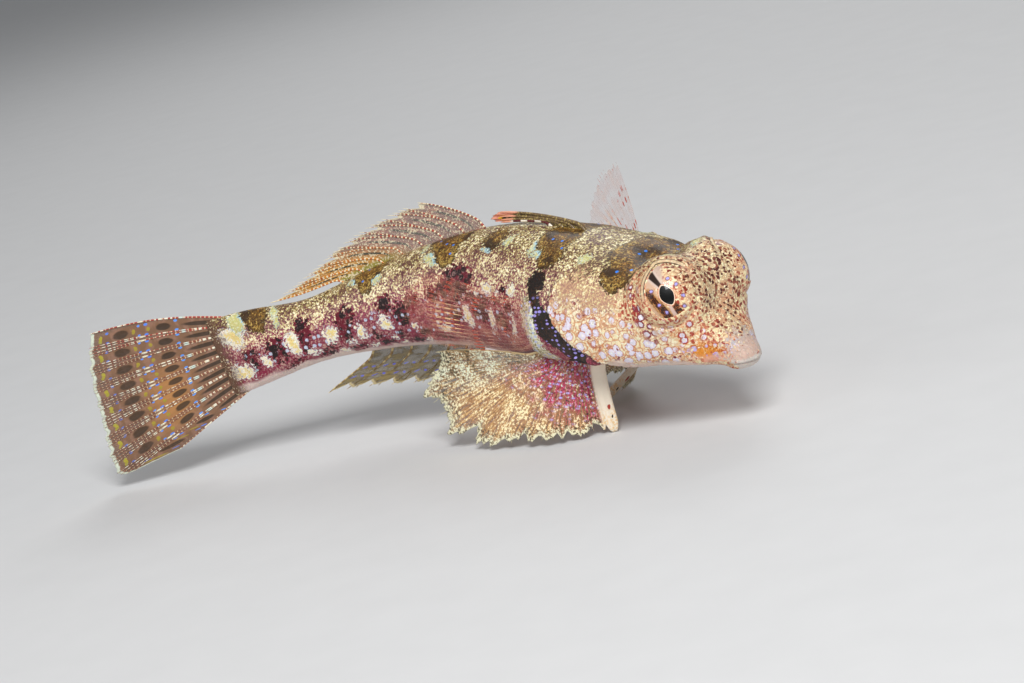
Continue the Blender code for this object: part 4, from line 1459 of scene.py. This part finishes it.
def second_dorsal_finish(rods):
    """Thin fin skin, grey pink ahead and gold behind, on rays banded cream and red."""
    material, tree, table, place, along, t = fin_start("banded dorsal rays" if rods else "grey pink fin skin")
    rear = where(tree, (place, 3.2, 5.4))
    clouds = add(tree, "TexNoise", table, 1.6, 3.0)
    grains = add(tree, "TexNoise", millimetres(tree), 5.0, 2.0, 0.6)
    flecks = where(tree, (add(tree, "Math MULTIPLY_ADD", clouds, 0.3, grains), 0.68, 0.74))
    tip = where(tree, (add(tree, "Math MULTIPLY_ADD", grains, 0.3, t), 1.03, 1.10))
    if rods:
        cream = dashes(tree, place, along, 0.42, 0.4, 0.8)
        red = dashes(tree, place, along, 0.95, 0.5, 0.8)
        colour = paint(
            tree, "#84543f",
            (red, "#a8402e"),
            (rear, "#d68a2a"),
            (rear, red, "#b9662c"),
            (cream, "#ecdcb8"),
            (tip, "#efe2bd"),
        )
        alpha = None
    else:
        gap = add(tree, "Math PINGPONG", place, 0.5)
        base = where(tree, (along, 1.5, 0.9))
        colour = paint(
            tree, "#94695a",
            ((clouds, 0.48, 0.6), "#ad6f58"),
            (rear, "#c68c38"),
            (ovals(tree, gap, t, 0.5, 0.42, 0.11, 0.36), "#3d3416"),
            (base, rear, "#9a9030"),
            (flecks, "#ead9b2"),
            (tip, "#e9dcb8"),
        )
        alpha = add(tree, "MapRange", rear, 0, 1, 0.6, 0.85)
    end_finish(tree, colour, clouds, 0.02, 0.42, alpha, coat_weight=0.2)
    return material


second_rays = np.array([
    upright_ray(0.548 + 0.267 * part, 0, 7.2 + 0.9 * part, 39 - 31 * part**1.8, 56, 8)
    for part in np.arange(8) / 7
])
second_dorsal = make_membrane(
    "second_dorsal", second_rays, second_dorsal_finish(False), notch=0.10, fray=0.07, billow=0.15, seed=3
)
second_rods = make_rods(
    "second_dorsal_rays", ray_lines(second_rays, (0.42, 0.74), 0.24, 0.115, 0.5), second_dorsal_finish(True)
)
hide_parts("second_dorsal_fin")
for piece in (second_dorsal, second_rods):
    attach(piece, "root")


# The anal fin
# Seven soft rays in thin olive skin under the belly, with rows of violet blue dots.


def anal_finish(rods):
    """Clear olive fin skin on tan rays."""
    material, tree, table, place, along, t = fin_start("tan anal rays" if rods else "clear olive fin skin")
    clouds = add(tree, "TexNoise", table, 1.4, 3.0)
    if rods:
        colour = paint(tree, "#9a7a48", (dashes(tree, place, along, 0.8, 0.4), "#d9c48c"))
        alpha = None
    else:
        gap = add(tree, "Math PINGPONG", place, 0.5)
        colour = paint(
            tree, "#6e5c34",
            ((clouds, 0.5, 0.62), "#8f7c48"),
            (ovals(tree, gap, t, 0.3, 0.45, 0.10, 0.028, 0.1, place), "#5a5fd8"),
            (ovals(tree, gap, t, 0.3, 0.72, 0.10, 0.028, 0.1, place), "#5a5fd8"),
            ((t, 0.93, 0.97), "#c9b684"),
        )
        alpha = add(tree, "MapRange", clouds, 0.4, 0.6, 0.55, 0.8)
    end_finish(tree, colour, clouds, 0.02, 0.42, alpha, coat_weight=0.2)
    return material


anal_rays = np.array([
    upright_ray(0.60 + 0.035 * i, 180, 6.0 + i / 6, 46 - 16 * i / 6, 44, 6) for i in range(7)
])
anal = make_membrane("anal", anal_rays, anal_finish(False), notch=0.14, billow=0.12, seed=4)
anal_rods = make_rods("anal_rays", ray_lines(anal_rays, (0.6,), 0.2, 0.14, 0.45), anal_finish(True))
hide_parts("anal_fin")
for piece in (anal, anal_rods):
    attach(piece, "root")


# The caudal fin
# Ten rays fanned from the end of the tail stalk, most of them forked twice, in brown skin with
# dark ovals, and arcs of blue and yellow dots. A pale line closes its edge.

CAUDAL_LENGTH = 16.2
CAUDAL_START = 1.02

# Rows of ovals, as place beside a ray, share of length, half width, half length, how far each
# strays, and how much colour
TAIL_OVALS = (
    (0.50, 0.20, 0.20, 0.18, 0.20, (0.85, "#2b1e0e")),
    (0.50, 0.50, 0.24, 0.05, 0.34, (0.85, "#2b1e0e")),
    (0.50, 0.79, 0.24, 0.055, 0.34, (0.8, "#332414")),
    (0.18, 0.415, 0.09, 0.013, 0.08, ("#63a0f5",)),
    (0.20, 0.615, 0.08, 0.014, 0.08, ("#5c8ff5",)),
    (0.22, 0.665, 0.07, 0.010, 0.12, ("#6a9cf5",)),
    (0.24, 0.885, 0.07, 0.012, 0.08, ("#5c86e8",)),
    (0.48, 0.60, 0.11, 0.012, 0.08, ("#a99430",)),
    (0.46, 0.70, 0.11, 0.012, 0.08, ("#a99430",)),
    (0.42, 0.93, 0.13, 0.013, 0.03, ("#b3a52a",)),
)


def caudal_lines(rows):
    """The lines of the tail fin's rays, from the top one to the lowest."""
    rays = []
    for i in range(10):
        part = 1 - 2 * i / 9
        high, low = max(0.0, part), max(0.0, -part)
        angle = math.radians(15.5 * part - 3.5 + 1.5 * high**3)
        bow = 0.7 * high**2
        length = CAUDAL_LENGTH * (1.05 - 0.13 * high**1.5 + 0.16 * low - 0.5 * low**9)
        run = np.linspace(-0.6, length, rows)
        share = CAUDAL_START + (0.3 + run * math.cos(angle)) / STANDARD_LENGTH
        point, _, _, up = frame_at(share)
        lift = run * math.sin(angle) + bow * np.sin(math.pi * np.clip(run / length, 0, 1))
        rays.append(point + up * (0.5 + 3.4 * part + lift)[:, None])
    return np.array(rays)


def caudal_finish(rods):
    """Brown fin skin, half clear, on rays with fine red and white dashes."""
    material, tree, table, place, along, t = fin_start("dashed tail rays" if rods else "brown tail fin skin")
    clouds = add(tree, "TexNoise", table, 1.3, 3.0)
    if rods:
        top = where(tree, (place, 2.2, 0.8))
        white = dashes(tree, place, along, 0.42, 0.3, 0.9)
        patches = where(tree, (add(tree, "TexNoise", millimetres(tree), 0.9, 2.0), 0.50, 0.58))
        pearls = where(tree, dashes(tree, place, along, 0.6, 0.6, 0.8), patches)
        colour = paint(
            tree, "#8f5a44",
            (top, "#ad3f33"),
            (white, "#dcc09c"),
            (pearls, "#f5efd8"),
            (band(tree, t, 0.37, 0.014, 0.01), "#d5e6dc"),
            (band(tree, t, 0.64, 0.016, 0.012), "#efe9cf"),
            ((t, 0.12, 0.03), "#f0dfc2"),
        )
        alpha = None
    else:
        gap = add(tree, "Math PINGPONG", place, 0.5)
        middle = where(tree, band(tree, t, 0.55, 0.12, 0.1), band(tree, place, 5.5, 2.0, 1.5))
        colour = paint(
            tree, "#846046",
            ((clouds, 0.45, 0.62), "#97705a"),
            (middle, "#b8814a"),
            *[(ovals(tree, gap, t, *oval, place), *paints) for *oval, paints in TAIL_OVALS],
            ((t, 0.972, 0.982), "#e3ead6"),
            ((t, 0.10, 0.02), "#efdcba"),
        )
        dark = add(tree, "MapRange", clouds, 0.35, 0.65, 0.72, 0.9)
        alpha = add(tree, "Math MAXIMUM", dark, ovals(tree, gap, t, 0.5, 0.5, 0.5, 0.5))
        alpha = where(tree, alpha, 0.92)
    end_finish(tree, colour, clouds, 0.02, 0.4, alpha, coat_weight=0.2)
    return material


tail_rays = caudal_lines(84)
caudal = make_membrane(
    "caudal", tail_rays, caudal_finish(False), notch=0.012, fray=0.012, billow=0.12, seed=5
)
caudal_rods = make_rods(
    "caudal_rays", ray_lines(tail_rays, (0.14, 0.56), 0.17, 0.11, 0.5, last=0.962), caudal_finish(True)
)
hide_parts("caudal_fin")
for piece in (caudal, caudal_rods):
    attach(piece, "root")


# The pectoral fins
# Paddles of fine forked rays in clear skin behind the gill covers, dashed with orange red.


def skin_normal(share, turn):
    """The unit vectors out of the body's surface."""
    normal = skin_point(share, turn, 1.0) - skin_point(share, turn, 0.0)
    return normal / np.linalg.norm(normal, axis=-1, keepdims=True)


def pectoral_lines(side, fan_high, fan_low, splay_high, splay_low, length, count, rows):
    """The lines of a pectoral fin's rays, from the upper one to the lowest."""
    _, ahead, right, up = frame_at(SHOULDER)
    rays = []
    for i in range(count):
        part = i / (count - 1)
        turn = side * (74 + 34 * part)
        base = 0.362 + 0.012 * math.sin(math.pi * part)
        lift = math.radians(fan_high + (fan_low - fan_high) * part)
        splay = math.radians(splay_high + (splay_low - splay_high) * part)
        reach = length * (1 - 0.22 * abs(2 * part - 0.9) ** 2)
        aim = (
            -ahead * math.cos(lift) * math.cos(splay)
            + right * side * math.sin(splay)
            + up * math.sin(lift) * math.cos(splay)
        )
        run = np.linspace(0, 1, rows)[:, None]
        ray = skin_point(base, turn, 0.3) + aim * reach * run - right * side * 0.06 * length * run**2
        dive = ROOT_DEPTH * np.clip(1 - run * reach / ROOT_RUN, 0, 1) ** 2
        rays.append(ray - skin_normal(base, turn) * dive)
    return np.array(rays)


def pectoral_finish(rods):
    """Clear fin skin, wet and almost unseen, on horny rays with orange red dashes."""
    material, tree, table, place, along, t = fin_start("dashed pectoral rays" if rods else "clear fin skin")
    clouds = add(tree, "TexNoise", table, 0.8, 3.0)
    if rods:
        patches = where(tree, (add(tree, "TexNoise", millimetres(tree), 0.4, 2.0), 0.48, 0.56))
        dash = where(tree, dashes(tree, place, along, 1.5, 0.45, 0.9), patches)
        streak = where(tree, band(tree, t, 0.62, 0.12, 0.06), band(tree, place, 9.0, 3.0, 2.0))
        colour = paint(
            tree, "#d8b49c",
            (dash, "#c2401e"),
            (streak, "#fbd7a2"),
            (streak, dashes(tree, place, along, 1.0, 0.4, 0.9), "#cf5a20"),
        )
        alpha = add(tree, "Math MAXIMUM", dash, streak)
        alpha = add(tree, "Math MULTIPLY_ADD", alpha, 0.8, 0.05)
    else:
        colour = paint(tree, "#cf6a52", ((clouds, 0.45, 0.6), "#e8a07e"))
        alpha = add(tree, "MapRange", clouds, 0.35, 0.65, 0.04, 0.14)
    end_finish(tree, colour, clouds, 0.01, 0.35, alpha, coat_weight=0.3)
    return material


clear_skin = pectoral_finish(False)
dashed_rays = pectoral_finish(True)
for fin_name, node_name, spec in (
    ("right_pectoral", "pectoral_fin_right", (1, 9, -5, 15, 18, 14.0)),
    ("left_pectoral", "pectoral_fin_left", (-1, 34, -22, 34, 24, 14.5)),
):
    paddle = pectoral_lines(*spec, 18, 60)
    pectoral = make_membrane(
        fin_name, paddle, clear_skin, notch=0.03, fray=0.01, billow=0.06, half=0.03, between=8, seed=6
    )
    pectoral_rods = make_rods(fin_name + "_rays", ray_lines(paddle, (0.5,), 0.25, 0.055, 0.45), dashed_rays)
    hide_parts(node_name)
    for piece in (pectoral, pectoral_rods):
        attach(piece, "root")


# The pelvic fins
# Broad fins spread from the throat to the floor, on which the fish is propped. Each has a stout
# cream spine in front, and soft branched rays in thick speckled skin with a ragged pale edge.

PELVIC_TIPS = (
    (4.3, 4.4, 0.0),
    (3.3, 5.2, 0.0),
    (2.0, 6.8, 0.0),
    (-0.8, 9.1, 0.0),
    (-7.6, 10.3, 0.1),
    (-13.8, 9.8, 1.4),
    (-16.4, 8.8, 5.2),
    (-14.4, 8.2, 8.8),
)


def pelvic_lines(side, back, rows):
    """The lines of a pelvic fin's rays, from the front edge of its spine back."""
    floor_turn = math.radians(float(through(SPINE_BENDS, SHOULDER, 1)))
    ahead = np.array([math.cos(floor_turn), -math.sin(floor_turn), 0.0])
    right = np.array([-math.sin(floor_turn), -math.cos(floor_turn), 0.0])
    rays = []
    for i, (forward, outward, height) in enumerate(PELVIC_TIPS):
        part = i / (len(PELVIC_TIPS) - 1)
        base = 0.268 + 0.102 * math.sin(math.pi / 2 * part)
        turn = side * (150 - 33 * part**1.4)
        root = skin_point(base, turn, 0.3)
        sweep = back * (1 - part)
        tip = ahead * (forward - sweep) + right * side * (outward - 0.3 * sweep) + np.array([0, 0, height])
        knee = root + (tip - root) * 0.45 + (right * side * 0.6 + np.array([0, 0, 0.9])) * (0.3 + part)
        t = np.linspace(0, 1, rows)[:, None]
        ray = root * (1 - t) ** 2 + knee * 2 * t * (1 - t) + tip * t**2
        rays.append(ray - skin_normal(base, turn) * 0.7 * np.clip(1 - t / 0.12, 0, 1) ** 2)
    return np.array(rays)


def pelvic_finish(rods):
    """Thin tan fin skin with drifts of cream specks and crimson streaks, on clear cream rays."""
    name = "cream pelvic rays" if rods else "speckled pelvic fin skin"
    material, tree, table, place, along, t = fin_start(name)
    body_place = millimetres(tree)
    clouds = add(tree, "TexNoise", body_place, 0.45, 3.0, 0.6)
    grains = add(tree, "TexNoise", body_place, 4.6, 2.0, 0.6, 2.0, 0.5)
    across = add(tree, "Math MULTIPLY", place, 16.0)
    strand = add(tree, "CombineXYZ", across, add(tree, "Math MULTIPLY", along, 0.5))
    strands = add(tree, "TexNoise", strand, 1.0, 3.0, 0.6)
    drift = add(tree, "Math MULTIPLY_ADD", clouds, 0.6, grains)
    drift = add(tree, "Math MULTIPLY_ADD", strands, 0.5, drift)
    specks = where(tree, (drift, 1.10, 1.17))
    holes = where(tree, (drift, 0.95, 0.88))
    tip = where(tree, (add(tree, "Math MULTIPLY_ADD", grains, 0.4, t), 1.11, 1.19))
    club = where(tree, (place, 1.25, 1.0))
    near_throat = add(tree, "Math MULTIPLY_ADD", clouds, 14.0, along)
    near_throat = add(tree, "Math MULTIPLY_ADD", place, 0.5, near_throat)
    before_last = add(tree, "MapRange", place, 6.4, 5.2)
    streaks = where(tree, (near_throat, 16.0, 12.0), (strands, 0.45, 0.50), before_last)
    if rods:
        colour = paint(
            tree, "#d6bd8c",
            (dashes(tree, place, along, 0.8, 0.35, 0.9), specks, "#8a5a3a"),
            (streaks, dashes(tree, place, along, 0.7, 0.6, 0.9), "#b3203f"),
            (tip, "#efe6b8"),
        )
        alpha = add(tree, "MapRange", specks, 0, 1, 0.7, 1.0)
    else:
        flat = add(tree, "VectorMath MULTIPLY", table, (1.1, 1, 0))
        spots = add(tree, "TexVoronoi", flat, 2.0, 0.0, 0.5, 2.0, 0.8, voronoi_dimensions="2D")
        spots = where(tree, (spots, 0.30, 0.06))
        red = paint(
            tree, "#a01f42",
            ((grains, 0.52, 0.58), "#d0507a"),
            ((grains, 0.44, 0.38), "#3a1520"),
            (spots, "#b8a8ee"),
            ((grains, 0.62, 0.66), "#9fdadb"),
        )
        upper = where(tree, (place, 5.0, 6.2))
        colour = paint(
            tree, "#c48a50",
            ((strands, 0.48, 0.58), "#e2b474"),
            ((strands, 0.46, 0.36), "#9c6a3c"),
            (holes, 0.7, "#70421f"),
            (specks, "#fbe8b8"),
            (upper, (drift, 1.05, 1.12), "#eceed2"),
            (upper, (drift, 1.02, 0.95), "#55543a"),
            (streaks, red),
            (tip, "#e9e4c0"),
            (add(tree, "MapRange", t, 0.84, 0.9), (grains, 0.46, 0.40), "#4c4326"),
            (club, "#f6e8d2"),
            (club, add(tree, "MapRange", t, 0.6, 0.9), (grains, 0.5, 0.56), "#efc98e"),
            (ovals(tree, place, t, 0.3, 0.66, 0.14, 0.035), "#a8321c"),
            (ovals(tree, place, t, 0.25, 0.8, 0.08, 0.02), "#3a2614"),
        )
        alpha = add(tree, "MapRange", strands, 0.40, 0.60, 0.45, 0.8)
        for solid in (club, streaks, specks, tip):
            alpha = add(tree, "Math MAXIMUM", alpha, solid)
    end_finish(tree, colour, grains, 0.04, 0.45, alpha, coat_weight=0.2)
    return material


speckled_skin = pelvic_finish(False)
cream_rays = pelvic_finish(True)
for fin_name, node_name, side, back in (
    ("right_pelvic", "pelvic_fin_right", 1, 0.0),
    ("left_pelvic", "pelvic_fin_left", -1, 9.0),
):
    fan = pelvic_lines(side, back, 60)
    pelvic = make_membrane(
        fin_name, fan, speckled_skin,
        notch=0.05, fray=0.09, billow=0.2, half=0.08, club=0.28, between=22, seed=7,
    )
    fan_lines = ray_lines(fan, (0.3, 0.62), 0.24, 0.12, 0.4, 2, 0.93)
    pelvic_rods = make_rods(fin_name + "_rays", fan_lines, cream_rays)
    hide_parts(node_name)
    for piece in (pelvic, pelvic_rods):
        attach(piece, "root")


# The floor and the studio lights
# A plain pale floor, with a large soft light over the camera's right, a weaker one on the left
# and one behind for the edges.

FLOOR_HALF = 3000
corners = [(x * FLOOR_HALF, y * FLOOR_HALF, 0) for x, y in ((-1, -1), (1, -1), (1, 1), (-1, 1))]
floor = mesh_object("floor", corners, [(0, 1, 2, 3)])
floor_finish, tree = start_finish("matt studio floor")
dust = add(tree, "TexNoise", millimetres(tree), 0.2, 4.0)
end_finish(tree, add(tree, "MapRange", dust, 0.0, 1.0, 0.60, 0.64), dust, 0.01, 0.7)
floor.data.materials.append(floor_finish)

world = bpy.data.worlds.new("studio")
bpy.context.scene.world = world
world.use_nodes = True
world.node_tree.nodes["Background"].inputs[0].default_value = hex_colour("#eef1f5")
world.node_tree.nodes["Background"].inputs[1].default_value = 0.26

for light_name, place, size, power in (
    ("key", (0.20, -0.26, 0.36), 0.20, 2.1),
    ("fill", (-0.30, -0.30, 0.20), 0.30, 0.36),
    ("edge", (-0.10, 0.34, 0.30), 0.24, 0.5),
):
    light = bpy.data.objects.new(light_name, bpy.data.lights.new(light_name, "AREA"))
    light.data.size = size
    light.data.energy = power
    light.location = place
    light.rotation_euler = (Vector((0, 0, 0.01)) - Vector(place)).to_track_quat("-Z", "Y").to_euler()
    bpy.context.scene.collection.objects.link(light)
bpy.context.scene.view_settings.view_transform = "Standard"
